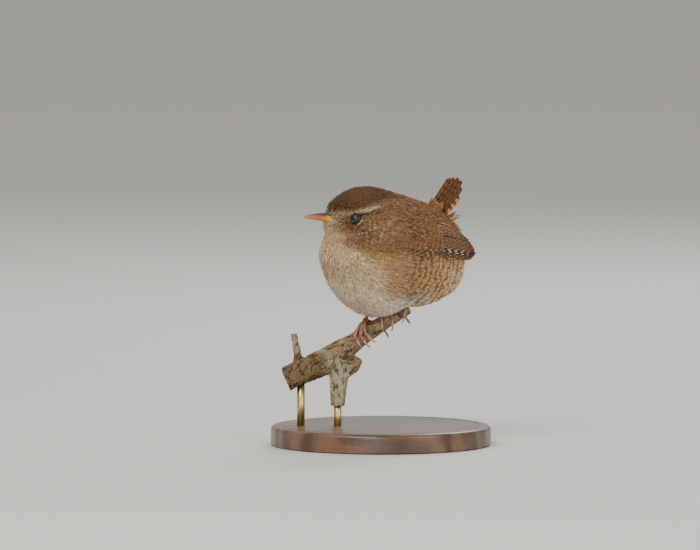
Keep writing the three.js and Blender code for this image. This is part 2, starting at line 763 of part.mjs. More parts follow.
// Legs run from the foot up into the belly.
const legs = {};
const clearances = [inFrame(perchSolid(gap), toBird)];
for (const [side, foot] of Object.entries(feet)) {
  const { heel, foot: toes, claws } = footPieces(foot, 0);
  const grown = footPieces(foot, gap);
  const ends = [heel, heel.clone().add(V(hipRise))].map((p) => [...p.toArray(), legRadius]);
  const shin = (more) => limb(ends, 10, 2, { grown: more });
  legs[side] = {
    toes,
    claws: claws.map((claw) => claw.subtract(grown.foot)),
    shin: shin(0).subtract(grown.foot),
  };
  clearances.push(inFrame(join([grown.foot, shin(gap), ...grown.claws]), toBird));
}

const torsoSolid = torsoPiece.subtract(join(clearances));
add(bird, "torso", largest(torsoSolid), looks.plumage);
add(bird, "neck", largest(neckPiece), looks.plumage);
add(bird, "head", largest(headSolid), looks.plumage);
add(bird, "bill_upper", largest(billUpper), looks.bill);
add(bird, "bill_lower", largest(billLower), looks.bill);
add(bird, "eye_left", ball(eyes[0].ballMiddle, eyeRadius, 3), looks.eye);
add(bird, "eye_right", ball(eyes[1].ballMiddle, eyeRadius, 3), looks.eye);
add(bird, "wing_left", wingSolid, looks.wing);
add(bird, "wing_right", mirrored(geometryOf(wingSolid)), looks.wing);
add(bird, "tail", tailSolid, looks.tail);

for (const [side, { toes, claws, shin }] of Object.entries(legs)) {
  add(part, `leg_${side}`, largest(shin), looks.foot);
  add(part, `foot_${side}`, largest(toes), looks.foot);
  Object.keys(feet[side].toes).forEach((toe, i) => {
    add(part, `claw_${side}_${toe}`, largest(claws[i]), looks.claw);
  });
}

// Display stand: a round base and two rods, each sunk into the base and the perch.
const rods = { fork: [-17.7, -0.4, 15.5], branch: [-32.7, 0.5, 24.2] };

function rod([x, y, z], grown) {
  const low = baseThick - rodDepth;
  const height = z + rodDepth - low;
  const geometry = new THREE.CylinderGeometry(rodRadius + grown, rodRadius + grown, height + 2 * grown, 16);
  return solid(geometry.rotateX(Math.PI / 2).translate(x, y, low + height / 2));
}

const rim = Array.from({ length: rimSteps + 1 }, (_, i) => {
  const angle = (Math.PI / 2) * (i / rimSteps);
  const middle = new THREE.Vector2(baseRadius - baseEdge, baseThick - baseEdge);
  return middle.add(new THREE.Vector2(Math.cos(angle), Math.sin(angle)).multiplyScalar(baseEdge));
});
const corners = [
  [0, 0],
  [baseRadius - footEdge, 0],
  [baseRadius, footEdge],
];
const underside = corners.map((corner) => new THREE.Vector2(...corner));
const disc = new THREE.LatheGeometry([...underside, ...rim, new THREE.Vector2(0, baseThick)], 32);
const rodClearance = join(Object.values(rods).map((at) => rod(at, gap)));
add(part, "perch", largest(perchSolid(0).subtract(rodClearance)), looks.perch);
add(part, "stand_base", largest(solid(disc.rotateX(Math.PI / 2)).subtract(rodClearance)), looks.base);
for (const [name, at] of Object.entries(rods)) add(part, `stand_rod_${name}`, rod(at, 0), looks.rod);

export default part;
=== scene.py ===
# A Eurasian wren at life size, fluffed up, tail cocked, gripping a forked twig on a display stand.
import itertools
import math
import bmesh
import bpy
import numpy as np
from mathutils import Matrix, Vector, noise


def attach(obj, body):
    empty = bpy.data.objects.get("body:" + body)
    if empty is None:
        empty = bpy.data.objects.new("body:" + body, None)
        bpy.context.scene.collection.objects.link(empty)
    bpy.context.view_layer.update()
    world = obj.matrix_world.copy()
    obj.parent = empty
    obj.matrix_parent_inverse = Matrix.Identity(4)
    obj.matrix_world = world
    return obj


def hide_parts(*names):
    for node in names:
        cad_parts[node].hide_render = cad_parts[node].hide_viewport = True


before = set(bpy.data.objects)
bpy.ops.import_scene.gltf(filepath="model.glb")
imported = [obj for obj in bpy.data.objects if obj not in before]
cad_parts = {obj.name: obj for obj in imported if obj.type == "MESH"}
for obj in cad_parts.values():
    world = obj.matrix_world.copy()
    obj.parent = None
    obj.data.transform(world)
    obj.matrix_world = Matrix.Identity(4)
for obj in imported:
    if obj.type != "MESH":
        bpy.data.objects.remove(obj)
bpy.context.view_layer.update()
mm = 0.001
dice = np.random.default_rng(7)

# Frames: the bird's own frame looks along -X with its left side at -Y, in millimetres.
birdFrame = {"at": (4.5, 1.0, 78.9), "turn": 24}
headFrame = {"at": (-13.0, 0.0, 14.0), "turn": -4}


def placed(at, turn):
    c, s = math.cos(math.radians(turn)), math.sin(math.radians(turn))
    matrix = np.eye(4)
    matrix[:3, :3] = ((c, -s, 0), (s, c, 0), (0, 0, 1))
    matrix[:3, 3] = at
    return matrix


def moved(points, matrix):
    return points @ matrix[:3, :3].T + matrix[:3, 3]


birdPlace = placed(birdFrame["at"], birdFrame["turn"])
headPlace = placed(headFrame["at"], headFrame["turn"])
toHead = np.linalg.inv(headPlace)


def unit(v):
    return v / np.maximum(np.linalg.norm(v, axis=-1, keepdims=True), 1e-9)


def mix(a, b, share):
    return a + (b - a) * share


def ramp(low, high, value):  # 0 at low, 1 at high, soft at both ends
    share = np.clip((value - low) / (high - low), 0, 1)
    return share * share * (3 - 2 * share)


# Shader expressions
class Sock:  # a socket that can be used in sums
    def __init__(self, nodes, out):
        self.nodes = nodes
        self.out = out

    def math(self, kind, *others):
        return self.nodes.add("ShaderNodeMath", {"operation": kind}, [self, *others])

    def __add__(self, other): return self.math("ADD", other)
    def __radd__(self, other): return self.math("ADD", other)
    def __sub__(self, other): return self.math("SUBTRACT", other)
    def __rsub__(self, other): return self.math("MULTIPLY_ADD", -1, other)
    def __mul__(self, other): return self.math("MULTIPLY", other)
    def __truediv__(self, other): return self.math("DIVIDE", other)


class Shade:  # one material's nodes
    def __init__(self, name, roughness=0.6, **fixed):
        self.material = bpy.data.materials.new(name)
        self.material.use_nodes = True
        self.tree = self.material.node_tree
        self.surface = self.tree.nodes["Principled BSDF"]
        self.surface.inputs["Roughness"].default_value = roughness
        for socket, value in fixed.items():
            self.surface.inputs[socket.replace("_", " ")].default_value = value

    def add(self, kind, settings=None, values=(), out=0):
        node = self.tree.nodes.new(kind)
        for key, value in (settings or {}).items():
            if key == "stops":
                ends = node.color_ramp.elements
                while len(ends) < len(value):
                    ends.new(0.5)
                for end, (at, colour) in zip(ends, value):
                    end.position = at
                    end.color = (*colour, 1)
            else:
                setattr(node, key, value)
        pairs = values.items() if isinstance(values, dict) else enumerate(values)
        for key, value in pairs:
            if isinstance(value, Sock):
                self.tree.links.new(value.out, node.inputs[key])
            else:
                node.inputs[key].default_value = value
        return Sock(self, node.outputs[out])

    def objectSpace(self, turn=0, at=(0, 0, 0)):  # millimetres, turned about Z
        co = self.add("ShaderNodeTexCoord", out="Object")
        inMm = self.add("ShaderNodeVectorMath", {"operation": "SCALE"}, {0: co, "Scale": 1 / mm})
        return self.add("ShaderNodeMapping", {"vector_type": "TEXTURE"},
                        {"Vector": inMm, "Location": at, "Rotation": (0, 0, math.radians(turn))})

    def axes(self, vector):
        node = self.add("ShaderNodeSeparateXYZ", {}, [vector]).out.node
        return [Sock(self, node.outputs[i]) for i in range(3)]

    def noise(self, vector, scale, detail=3, rough=0.6, stretch=None):
        if stretch:
            vector = self.add("ShaderNodeVectorMath", {"operation": "MULTIPLY"}, [vector, stretch])
        return self.add("ShaderNodeTexNoise", {}, {"Vector": vector, "Scale": scale, "Detail": detail,
                                                    "Roughness": rough})

    def softStep(self, value, low, high):
        return self.add("ShaderNodeMapRange", {"interpolation_type": "SMOOTHSTEP"}, [value, low, high, 0, 1])

    def grey(self, value):  # a value as a colour
        return self.add("ShaderNodeCombineXYZ", {}, [value] * 3)

    def tinted(self, name, value):  # a colour attribute made lighter or darker by a value
        return self.blend(1.0, self.attribute(name), self.grey(value), "MULTIPLY")

    def blend(self, share, a, b, kind="MIX"):
        first, second = ((*c, 1) if isinstance(c, tuple) else c for c in (a, b))
        return self.add("ShaderNodeMix", {"data_type": "RGBA", "blend_type": kind},
                        {0: share, 6: first, 7: second}, 2)  # the node's colour sockets

    def attribute(self, name, out="Color"):
        return self.add("ShaderNodeAttribute", {"attribute_name": name}, out=out)

    def numbers(self, *names):
        return [self.attribute(name, "Fac") for name in names]

    def feed(self, **links):
        for key, value in links.items():
            self.tree.links.new(value.out, self.surface.inputs[key.replace("_", " ")])

    def bump(self, height, strength, distance):
        self.feed(Normal=self.add("ShaderNodeBump", {}, {"Height": height, "Strength": strength,
                                                        "Distance": distance}))


# Meshes
def arraysOf(bm):  # the points and faces of a bmesh, which is then let go
    bm.verts.index_update()
    points = np.array([v.co[:] for v in bm.verts])
    faces = np.array([[v.index for v in face.verts] for face in bm.faces])
    bm.free()
    return points, faces


def meshPiece(name, points, faces, material, colours=None, numbers=None, maps=None, smooth=True):
    mesh = bpy.data.meshes.new(name)  # points are metres; faces all have the same corner count
    corners = faces.shape[1]
    mesh.vertices.add(len(points))
    mesh.vertices.foreach_set("co", points.astype(np.float32).ravel())
    mesh.loops.add(faces.size)
    mesh.loops.foreach_set("vertex_index", faces.astype(np.int32).ravel())
    mesh.polygons.add(len(faces))
    mesh.polygons.foreach_set("loop_start", np.arange(0, faces.size, corners, dtype=np.int32))
    mesh.polygons.foreach_set("loop_total", np.full(len(faces), corners, dtype=np.int32))
    mesh.polygons.foreach_set("use_smooth", np.full(len(faces), smooth))
    for key, uv in (maps or {}).items():
        layer = mesh.uv_layers.new(name=key)
        layer.data.foreach_set("uv", uv[faces.ravel()].astype(np.float32).ravel())
    mesh.update(calc_edges=True)
    for key, rgb in (colours or {}).items():
        layer = mesh.color_attributes.new(key, "FLOAT_COLOR", "POINT")
        layer.data.foreach_set("color", np.c_[rgb, np.ones(len(rgb))].astype(np.float32).ravel())
    for key, value in (numbers or {}).items():
        layer = mesh.attributes.new(key, "FLOAT", "POINT")
        layer.data.foreach_set("value", value.astype(np.float32))
    return finished(name, mesh, material)


def finished(name, mesh, material):  # puts a mesh in the scene as a piece of the model
    mesh.materials.append(material)
    piece = shown(bpy.data.objects.new(name, mesh))
    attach(piece, "root")
    return piece


def shown(thing):
    bpy.context.scene.collection.objects.link(thing)
    return thing


def bmeshPiece(name, bm, material):  # a bmesh in metres, made smooth
    bmesh.ops.recalc_face_normals(bm, faces=bm.faces)
    mesh = bpy.data.meshes.new(name)
    bm.to_mesh(mesh)
    bm.free()
    for face in mesh.polygons:
        face.use_smooth = True
    return finished(name, mesh, material)


# The shape of the plumage: rounded forms that run softly into one another
plumageForms = {
    "blend": 3.2, "dent": 1.6,
    "body": [
        ((-7, 0, -3), (21.8, 21.4, 20.1), 0), ((-7.2, 0, -10), (13.4, 17.6, 15.2), 0),
        ((1.5, 0, 7), (21, 18, 16), -14), ((15, 0, 2), (14.5, 17, 13), 0),
        ((16.5, 0, -8.5), (12.5, 14.5, 11.5), 0), ((-14.5, 0, 3), (10, 11, 11), 0),
    ],
    "head": [((0, 0, 1), (14.3, 11, 12.1), 0), ((-6.5, 0, -1.5), (7.2, 6.2, 7), 0)],
    "hollows": [((-15.6, -9.6, 1), (5.4, 3.2, 4.6), 0), ((-15.6, 9.6, 1), (5.4, 3.2, 4.6), 0)],
    "dish": 7.0, "bed": ((16, 3.4, 3), (26, 9.2, 4.6)),
    "shoulders": [((0, -13, 8.1), (13, 9.4, 8.8), 0), ((0, 13, 8.1), (13, 9.4, 8.8), 0)],
}
wingFrame = {"middle": -2, "size": (38.6, 22.6, 25), "wrist": (-7.5, 4), "droop": math.radians(7.8)}
eye = {"level": (-8.6, 0, 1.1), "ball": 2.6, "shown": 1.6, "sunk": 0.6, "guard": 1.68, "lid": 1.55}

# Bill, in the head's frame, from tip to root
bill = {
    "x": (-25.5, -25.1, -24.6, -22.8, -20.2, -17.4, -14.8, -12.2, -10.6),
    "edge": (1.05, 1.07, 1.1, 1.1, 1.0, 0.8, 0.2, -0.7, -1.2),
    "ridge": (1.3, 1.52, 1.7, 2.15, 2.5, 2.7, 2.7, 2.3, 1.3),
    "keel": (0.8, 0.66, 0.5, 0.2, -0.25, -0.9, -1.5, -2.0, -1.9),
    "half": (0.2, 0.32, 0.45, 0.75, 1.1, 1.6, 2.5, 3.5, 3.3),
    "gap": 0.12, "rings": 90, "sides": 40, "nostril": (-16.4, 1.35, 1.8),
}


def formInverse(at, size, pitch, base):
    c, s = math.cos(math.radians(-pitch)), math.sin(math.radians(-pitch))
    own = np.eye(4)
    own[:3, :3] = ((c, 0, s), (0, 1, 0), (-s, 0, c))
    own[:3, 3] = at
    return np.linalg.inv(base @ own), np.array(size, float)


bodyShapes = [formInverse(*form, np.eye(4)) for form in plumageForms["body"]]
bodyShapes += [formInverse(*form, headPlace) for form in plumageForms["head"]]
shoulderShapes = [formInverse(*form, np.eye(4)) for form in plumageForms["shoulders"]]
hollowShapes = [formInverse(*form, headPlace) for form in plumageForms["hollows"]]


def formField(points, shape):  # distance outside one form and its outward direction
    inverse, size = shape
    near = moved(points, inverse) / size
    share = np.linalg.norm(near, axis=1)
    slope = near / size
    far = np.maximum(np.linalg.norm(slope, axis=1), 1e-6)
    return share * (share - 1) / far, (slope / far[:, None]) @ inverse[:3, :3]


def toWing(points):  # along, across and height on the wing's sheet, for either side
    x, y, z = points[:, 0], np.abs(points[:, 1]), points[:, 2]
    c, s = math.cos(wingFrame["droop"]), math.sin(wingFrame["droop"])
    dx, dz = x - wingFrame["wrist"][0], z - wingFrame["wrist"][1]
    a, b, h = wingFrame["size"]
    fromMiddle = x - wingFrame["middle"]
    deep = np.sqrt(np.maximum(0.02, 1 - (fromMiddle / a) ** 2 - (z / h) ** 2))
    lean = unit(np.stack([fromMiddle / a**2, b * deep / b**2, z / h**2], axis=1))
    return dx * c - dz * s, dx * s + dz * c, (y - b * deep) * lean[:, 1]


def wingPoint(s, t, height):  # a place on the left wing's sheet
    c, k = math.cos(wingFrame["droop"]), math.sin(wingFrame["droop"])
    x = wingFrame["wrist"][0] + s * c + t * k
    z = wingFrame["wrist"][1] - s * k + t * c
    a, b, h = wingFrame["size"]
    dx = x - wingFrame["middle"]
    y = -b * np.sqrt(np.maximum(0.02, 1 - (dx / a) ** 2 - (z / h) ** 2))
    normal = unit(np.stack([dx / a**2, y / b**2, z / h**2], axis=-1))
    return np.stack([x, y, z], axis=-1) + normal * np.asarray(height)[..., None]


eyes = []  # middle of the lids and outward direction, found on the plumage before the eyes dent it


def plumageField(points, bedded=True):
    k, dent = plumageForms["blend"], plumageForms["dent"]
    total, slope = 0, 0
    for shape in bodyShapes + ([] if bedded else shoulderShapes):
        distance, out = formField(points, shape)
        weight = np.exp(-distance / k)
        total = total + weight
        slope = slope + weight[:, None] * out
    distance, slope = -k * np.log(total), slope / total[:, None]
    cuts = [formField(points, shape) for shape in hollowShapes]
    for middle, out in eyes:
        away = points - (middle + out * plumageForms["dish"])
        reach = np.linalg.norm(away, axis=1)
        cuts.append((reach - plumageForms["dish"], away / reach[:, None]))
    for cut, out in cuts:
        a, b = np.exp(distance / dent), np.exp(-cut / dent)
        slope = (a[:, None] * slope - b[:, None] * out) / (a + b)[:, None]
        distance = dent * np.log(a + b)
    if bedded:
        middle, size = plumageForms["bed"]
        local = (np.stack(toWing(points), axis=1) - middle) / size
        share = np.linalg.norm(local, axis=1)
        distance = np.maximum(distance, np.minimum(1.6, (1 - share) * size[2]))
    return distance, unit(slope)


def plumageAlong(middle, directions, level=0.0, bedded=True):  # where rays from a middle leave the plumage
    low, high = np.zeros(len(directions)), np.full(len(directions), 60.0)
    for _ in range(24):
        half = (low + high) / 2
        inside = plumageField(middle + directions * half[:, None], bedded)[0] < level
        low, high = np.where(inside, half, low), np.where(inside, high, half)
    return middle + directions * low[:, None]


def layOn(points, level):  # moves points along the slope until they lie at a level
    for _ in range(3):
        distance, out = plumageField(points, bedded=False)
        points = points - out * (distance - level)[:, None]
    return points, out


def findEyes():
    made = []
    for side in (-1, 1):
        start = moved(np.array([eye["level"]], float), headPlace)
        out = np.array([[0, side, 0]]) @ headPlace[:3, :3].T
        spot = plumageAlong(start[0], unit(out), bedded=False)
        normal = plumageField(spot, bedded=False)[1][0]
        made.append((spot[0] - normal * eye["sunk"], normal))
    return made


eyes = findEyes()
print("eyes at", [np.round(middle, 1).tolist() for middle, _ in eyes])


# Colours of the plumage, linear, by place
tones = {
    "crown": (0.14, 0.073, 0.034), "forehead": (0.11, 0.06, 0.029), "nape": (0.25, 0.132, 0.054),
    "mantle": (0.335, 0.17, 0.068), "rump": (0.39, 0.195, 0.077), "cheek": (0.27, 0.155, 0.074),
    "browLine": (0.66, 0.52, 0.34), "eyeLine": (0.085, 0.047, 0.022), "throat": (0.7, 0.5, 0.285),
    "breast": (0.64, 0.475, 0.29), "breastLow": (0.84, 0.69, 0.505), "flank": (0.65, 0.39, 0.175),
    "flankFront": (0.47, 0.29, 0.138), "belly": (0.92, 0.79, 0.61), "vent": (0.88, 0.6, 0.34),
    "pale": (0.55, 0.41, 0.25), "dark": (0.08, 0.047, 0.024), "shadow": (0.14, 0.1, 0.055),
}
tone = {key: np.array(value) for key, value in tones.items()}
marks = {  # rows: height at the head's middle, rise towards the nape, half the thickness
    "chestZ": (-26, -6, -1, 4.2, 9.2, 12, 16), "chestX": (-10, -14.5, -19.1, -26.2, -27.5, -28.3, -31),
    "brow": (4.75, 0.24, (0.42, 0.74)), "foreBrow": (4.6, 0.17, 0.9), "eyeLine": (2.9, 0.22, 0.7),
    "crownRise": 0.24, "lores": ((-13, 2.6), (0.8, 2.0)), "underEye": (2.25, 0.62),
    "hollow": ((2.6, 5.5), (-16.8, 2.0)), "speckle": 0.42,
}


def paint(base, colour, share):
    return base + (colour - base) * share[:, None]


def stripe(x, z, mark, half, power=2):  # 1 along the middle of a row of marks, fading to its edges
    return np.exp(-((z - mark[0] - mark[1] * x) / half) ** power)


def spot(x, z, places):  # 1 in the middle of a soft spot
    return np.exp(-sum(((at - middle) / half) ** 2 for at, (middle, half) in zip((x, z), places)))


def roundEye(points, middle, out):  # height over an eye's lids, and the rest of the way from their middle
    away = points - middle
    height = (away * out).sum(1, keepdims=True)
    return height, away - height * out


def plumageColour(points):  # colour, flecks, flank bars and back bars
    x, z = points[:, 0], points[:, 2]
    head = moved(points, toHead)
    hx, hz = head[:, 0], head[:, 2]
    base = np.tile(tone["flank"], (len(points), 1))
    regions = (
        ("vent", ramp(10, 24, x) * ramp(4, -12, z)), ("belly", ramp(-12, -21, z) * ramp(16, 4, x)),
        ("mantle", ramp(-2, 7, z + 0.2 * x)),
        ("cheek", 0.8 * ramp(-8, 2, z) * ramp(-16, -9, x) * ramp(11, 0, x)),
        ("flankFront", 0.85 * ramp(7, -4, x) * ramp(4, -2, z) * ramp(-21, -12, z)),
        ("rump", ramp(4, 16, x) * ramp(0, 10, z)), ("nape", ramp(-2, 4, z) * ramp(-4, -9, x)),
        ("cheek", ramp(9, 4, hx) * ramp(-14, -7, hz)),
    )
    for key, share in regions:
        base = paint(base, tone[key], share)
    chest = paint(tone["throat"], tone["breast"], ramp(8, -2, z))
    chest = paint(chest, tone["breastLow"], ramp(-6, -17, z))
    side = ramp(0, 16, np.abs(points[:, 1]))
    chestEnd = np.interp(z, marks["chestZ"], marks["chestX"]) + (1 - side) * 6 * ramp(2, -14, z)
    chestEdge = ramp(4.6, -4, x - chestEnd)
    base = paint(base, chest, chestEdge)
    overBrow = hz - marks["crownRise"] * hx
    top = mix(tone["crown"], tone["forehead"], ramp(-6, -12, hx)[:, None])
    base = paint(base, top, ramp(5.2, 7.4, overBrow) * ramp(13, 6, hx))
    thick = mix(*marks["brow"][2], ramp(-9.5, -4, hx))
    brow = stripe(hx, hz, marks["brow"], thick, 4) * ramp(-10.4, -8.6, hx) * ramp(2.6, 0.2, hx)
    brow = brow * (0.76 + 0.24 * np.sin(hx * 2.6 + hz * 5))
    faint = 0.25 * stripe(hx, hz, marks["foreBrow"], marks["foreBrow"][2])
    faint = faint * ramp(-15.5, -13, hx) * ramp(-8.5, -10, hx)
    base = paint(base, tone["browLine"], np.clip(np.maximum(brow, faint), 0, 1))
    line = stripe(hx, hz, marks["eyeLine"], marks["eyeLine"][2]) * ramp(-8, -5, hx) * ramp(5, 0, hx)
    base = paint(base, tone["eyeLine"], np.clip(line * 0.8, 0, 1))
    base = paint(base, tone["pale"] * 0.75, spot(hx, hz, marks["lores"]) * 0.45)
    for middle, out in eyes:
        height, flat = roundEye(points, middle, out)
        reach, half = marks["underEye"]
        under = np.exp(-((np.linalg.norm(flat, axis=1) - reach) / half) ** 4)
        under = under * ramp(-0.2, -1.3, z - middle[2]) * (height[:, 0] > -4)
        base = paint(base, tone["browLine"] * 1.35, under)
    base = paint(base, tone["shadow"], 0.45 * spot(x, z, marks["hollow"]))
    mottle = ramp(-14, -10, hx) * ramp(3, -3, hx) * ramp(-9, -4, hz) * ramp(4.2, 1.4, overBrow)
    mottle = np.maximum(np.maximum(mottle, brow * 1.1), marks["speckle"] * chestEdge)
    flank = ramp(-9, 3, x) * ramp(5.5, 1, z + 0.1 * x) * ramp(-27, -21, z)
    return np.clip(base, 0, 1), mottle, flank, ramp(-9, -2, x) * ramp(3, 9, z)


barring = {"centre": -3, "widen": 0.012, "drift": 5.5, "share": 0.68,
           "flankBars": {"spacing": 3.3, "noise": 0.9, "stray": 1.1, "soft": 0.8,
                         "tone": (0.1, 0.06, 0.032)},
           "backBars": {"spacing": 2.6, "noise": 1.4, "stray": 1.4, "soft": 1.0,
                        "tone": (0.07, 0.035, 0.016)}}


def plumageFinish():  # bars run round the body, as if seen a little from the front
    shade = Shade("wren body plumage", roughness=0.85, Sheen_Weight=0.03, Sheen_Roughness=0.5,
                  Specular_IOR_Level=0.1)
    co = shade.objectSpace(turn=birdFrame["turn"], at=birdFrame["at"])
    x, y, z = shade.axes(co)
    turn = math.radians(birdFrame["turn"])
    wobble = shade.noise(co, 0.3) - 0.5
    across = x * math.cos(turn) + y.math("ABSOLUTE") * math.sin(turn) - barring["centre"]
    up = z - barring["centre"]
    reach = (across * across + up * up).math("SQRT") + wobble * barring["drift"]
    reach = reach * (reach * barring["widen"] + 1)
    grain = shade.noise(co, 1.9)
    colour = shade.tinted("plumage", 0.72 + grain * 0.56)
    for key in ("flankBars", "backBars"):
        look = barring[key]
        wave = (reach * (2 * math.pi / look["spacing"])).math("SINE")
        wave = wave + (shade.noise(co, look["noise"]) - 0.5) * look["stray"]
        bars = shade.softStep(wave, 0.0, look["soft"]) * shade.attribute(key, "Fac")
        colour = shade.blend(bars * barring["share"], colour, look["tone"])
    shade.feed(Base_Color=colour)
    shade.bump(grain, 0.25, 0.0002)
    return shade.material


# Feathers: one template each, laid on the plumage many times
def vaneTemplate(sides, ragged, seed):  # a lens with a frayed tip: along 0..1, across -1..1, height -1..1
    draw = np.random.default_rng(seed)
    bm = bmesh.new()
    bmesh.ops.create_uvsphere(bm, u_segments=sides, v_segments=2, radius=1)
    for v in bm.verts:
        if abs(v.co.z) > 0.5:
            v.co.x, v.co.y = 0.42, 0
            continue
        angle = math.atan2(v.co.y, v.co.x)
        reach = 0.5 + 0.5 * math.cos(angle)
        broad = math.sin(angle) * (0.75 + 0.45 * math.sin(math.pi * min(1, reach * 0.9)))
        if reach > 0.55:
            reach += ragged * draw.uniform(-1, 0.35) * (reach - 0.55) * 2
            broad *= 1 + ragged * draw.uniform(-0.5, 0.3)
        v.co = (reach, broad * 0.9, 0)
    bmesh.ops.triangulate(bm, faces=bm.faces)
    return arraysOf(bm)


def lockTemplate():  # a thin three-sided lock with both ends drawn out
    bm = bmesh.new()
    bmesh.ops.create_uvsphere(bm, u_segments=3, v_segments=3, radius=1)
    for v in bm.verts:
        if abs(v.co.z) > 0.9:
            v.co = (0.5 - 0.5 * v.co.z, 0, 0)
        else:
            v.co = (0.62 if v.co.z < 0 else 0.2, v.co.y * 1.15, v.co.x)
    bmesh.ops.triangulate(bm, faces=bm.faces)
    bmesh.ops.recalc_face_normals(bm, faces=bm.faces)
    return arraysOf(bm)


def repeated(faces, counts, size):
    return (faces[None] + (np.arange(counts) * size)[:, None, None]).reshape(-1, 3)


flow = {"source": np.array((-29.5, 0, 14.5)), "sink": np.array((50.0, 0, 3.0))}


def lie(points, out):  # which way the feathers point: away from the bill, towards a place behind the tail
    fromBill = points - flow["source"]
    toTail = flow["sink"] - points
    way = fromBill / (fromBill**2).sum(1, keepdims=True) + toTail / (toTail**2).sum(1, keepdims=True)
    return unit(way - out * (way * out).sum(1, keepdims=True))


def scatter(candidates, spacing):  # keeps candidates that stand their own spacing apart
    cell = float(spacing.min())
    grid, kept = {}, []
    for i in dice.permutation(len(candidates)):
        (x, y, z), r = candidates[i].tolist(), float(spacing[i])
        key = tuple(int(v // cell) for v in (x, y, z))
        span = math.ceil(r / cell)
        cells = itertools.product(*(range(k - span, k + span + 1) for k in key))
        near = itertools.chain.from_iterable(grid.get(place, ()) for place in cells)
        if all((a - x) ** 2 + (b - y) ** 2 + (c - z) ** 2 >= r * r for a, b, c in near):
            grid.setdefault(key, []).append((x, y, z))
            kept.append(i)
    return np.array(sorted(kept))


covered = {  # the part of the body that the folded wing covers, on the wing's sheet
    "front": ((-3, 0, 3, 10), (5, 6, 8.5, 12)), "rear": 41, "deepest": -2.6,
    "low": ((3, 12, 30, 42), (1.0, -0.6, -2.6, -2.2)),
    "high": ((3, 12, 24, 34, 42), (6.0, 9.5, 9.5, 6.5, 2.0)),
}


def underWing(points):
    s, t, h = toWing(points)
    inside = (s > np.interp(t, *covered["front"])) & (s < covered["rear"]) & (h > covered["deepest"])
    return inside & (t > np.interp(s, *covered["low"])) & (t < np.interp(s, *covered["high"]))


def guardEyes(points):  # feathers part round the eyes
    for middle, out in eyes:
        height, flat = roundEye(points, middle, out)
        reach = np.linalg.norm(flat, axis=1, keepdims=True)
        parted = middle + height * out + flat / np.maximum(reach, 1e-6) * eye["guard"]
        points = np.where((reach < eye["guard"]) & (np.abs(height) < 3), parted, points)
    return points


def unwrapped(roots):
    d = unit(roots - skinLook["middle"])
    around = np.arctan2(d[:, 1], d[:, 0]) / (2 * math.pi) + 0.5
    return np.stack([around, np.arccos(d[:, 2]) / math.pi], axis=1)


sunken = {  # bands: how deep, the axis, middle and half of a band, and where it fades in on another axis
    "crown": (0.75, 5, 9),
    "bands": ((0.9, 2, 8.3, 2.8, 0, -19, -23), (-0.7, 2, 1.2, 3.4, 0, -15, -20),
              (-1.7, 0, 8, 5, 2, -13, -18)),
}


def sunkAt(points):  # where the feathers lie closer than elsewhere, or stand further out
    deep, low, high = sunken["crown"]
    sunk = deep * ramp(low, high, moved(points, toHead)[:, 2])
    for deep, axis, middle, half, other, low, high in sunken["bands"]:
        band = np.exp(-((points[:, axis] - middle) / half) ** 2)
        sunk = sunk + deep * band * ramp(low, high, points[:, other])
    return sunk


def layFeathers(roots, template, length, width, height, lift, sway, level):
    local, faces = template  # lays a template at each root and bends it along the plumage
    count, size = len(roots), len(local)
    base, out = layOn(roots.copy(), level[0])
    straight = lie(base, out)
    beside = unit(np.cross(out, straight))
    c, s = np.cos(sway)[:, None], np.sin(sway)[:, None]
    forward, side = straight * c + beside * s, beside * c - straight * s
    along, across, high = (np.repeat(local[None, :, i], count, 0) for i in range(3))
    flat = base[:, None] + forward[:, None] * (along * length[:, None])[..., None]
    flat = flat + side[:, None] * (across * width[:, None])[..., None]
    rise = mix(level[0], level[1] + lift[:, None], np.clip(along, 0, 1.1)) + high * height
    rise = rise - 0.12 * across**2 * width[:, None] - sunkAt(base)[:, None]
    points, _ = layOn(flat.reshape(-1, 3), rise.reshape(-1))
    uv = np.repeat(unwrapped(base), size, 0) + 0.0015 * np.stack([along, across], -1).reshape(-1, 2)
    return guardEyes(points), repeated(faces, count, size), uv, along.reshape(-1)


# skinLook's shade darkens the skin beneath the coat as painted shade
skinLook = {"detail": 7, "depth": 1.3, "middle": np.array((-3.0, 0, 0)), "shade": 0.8}
coat = {  # each region's spacing, length and width of its feathers, laid over one another in this order
    "regions": {"flank": (1.05, 5.4, 1.7), "back": (0.98, 4.8, 1.55), "breast": (0.95, 4.6, 1.25),
                "crown": (0.72, 2.9, 0.8), "face": (0.62, 2.0, 0.62)},
    "vanes": {"candidates": 90000, "template": (18, 0.55), "clumps": 6, "thick": 0.09, "level": (-1.5, -0.1),
              "scale": (0.8, 1.2), "lift": (-0.3, 0.15), "sway": 0.1, "tint": 0.09},
    "locks": {"candidates": 120000, "share": 0.62, "width": 0.1, "thick": 0.1, "level": (-0.9, 0.1),
              "scale": (0.55, 1.0), "lift": (-0.2, 0.4), "loose": (1.3, 0.6), "sway": 0.2, "tint": 0.15},
    "bare": {"eye": 1.62, "ends": (15.6, 2.4, 0.4), "gape": (-12.9, 4.6, 0.75)},
    "flecks": {"pale": (0.76, 0.55), "dark": (0.3, 0.4)},
}


def makeSkin(material):
    bm = bmesh.new()
    bmesh.ops.create_icosphere(bm, subdivisions=skinLook["detail"], radius=1)
    directions, faces = arraysOf(bm)
    points = plumageAlong(skinLook["middle"], unit(directions), -skinLook["depth"])
    colour, _, flank, back = plumageColour(points)
    # The skin's colour is made darker than the coat's: painted shade beneath the feathers, seen in the gaps
    # between them
    skin = meshPiece("body_skin", moved(points, birdPlace) * mm, faces, material,
                     {"plumage": colour * skinLook["shade"]}, {"flankBars": flank, "backBars": back})
    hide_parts("torso", "neck", "head")
    return points, faces


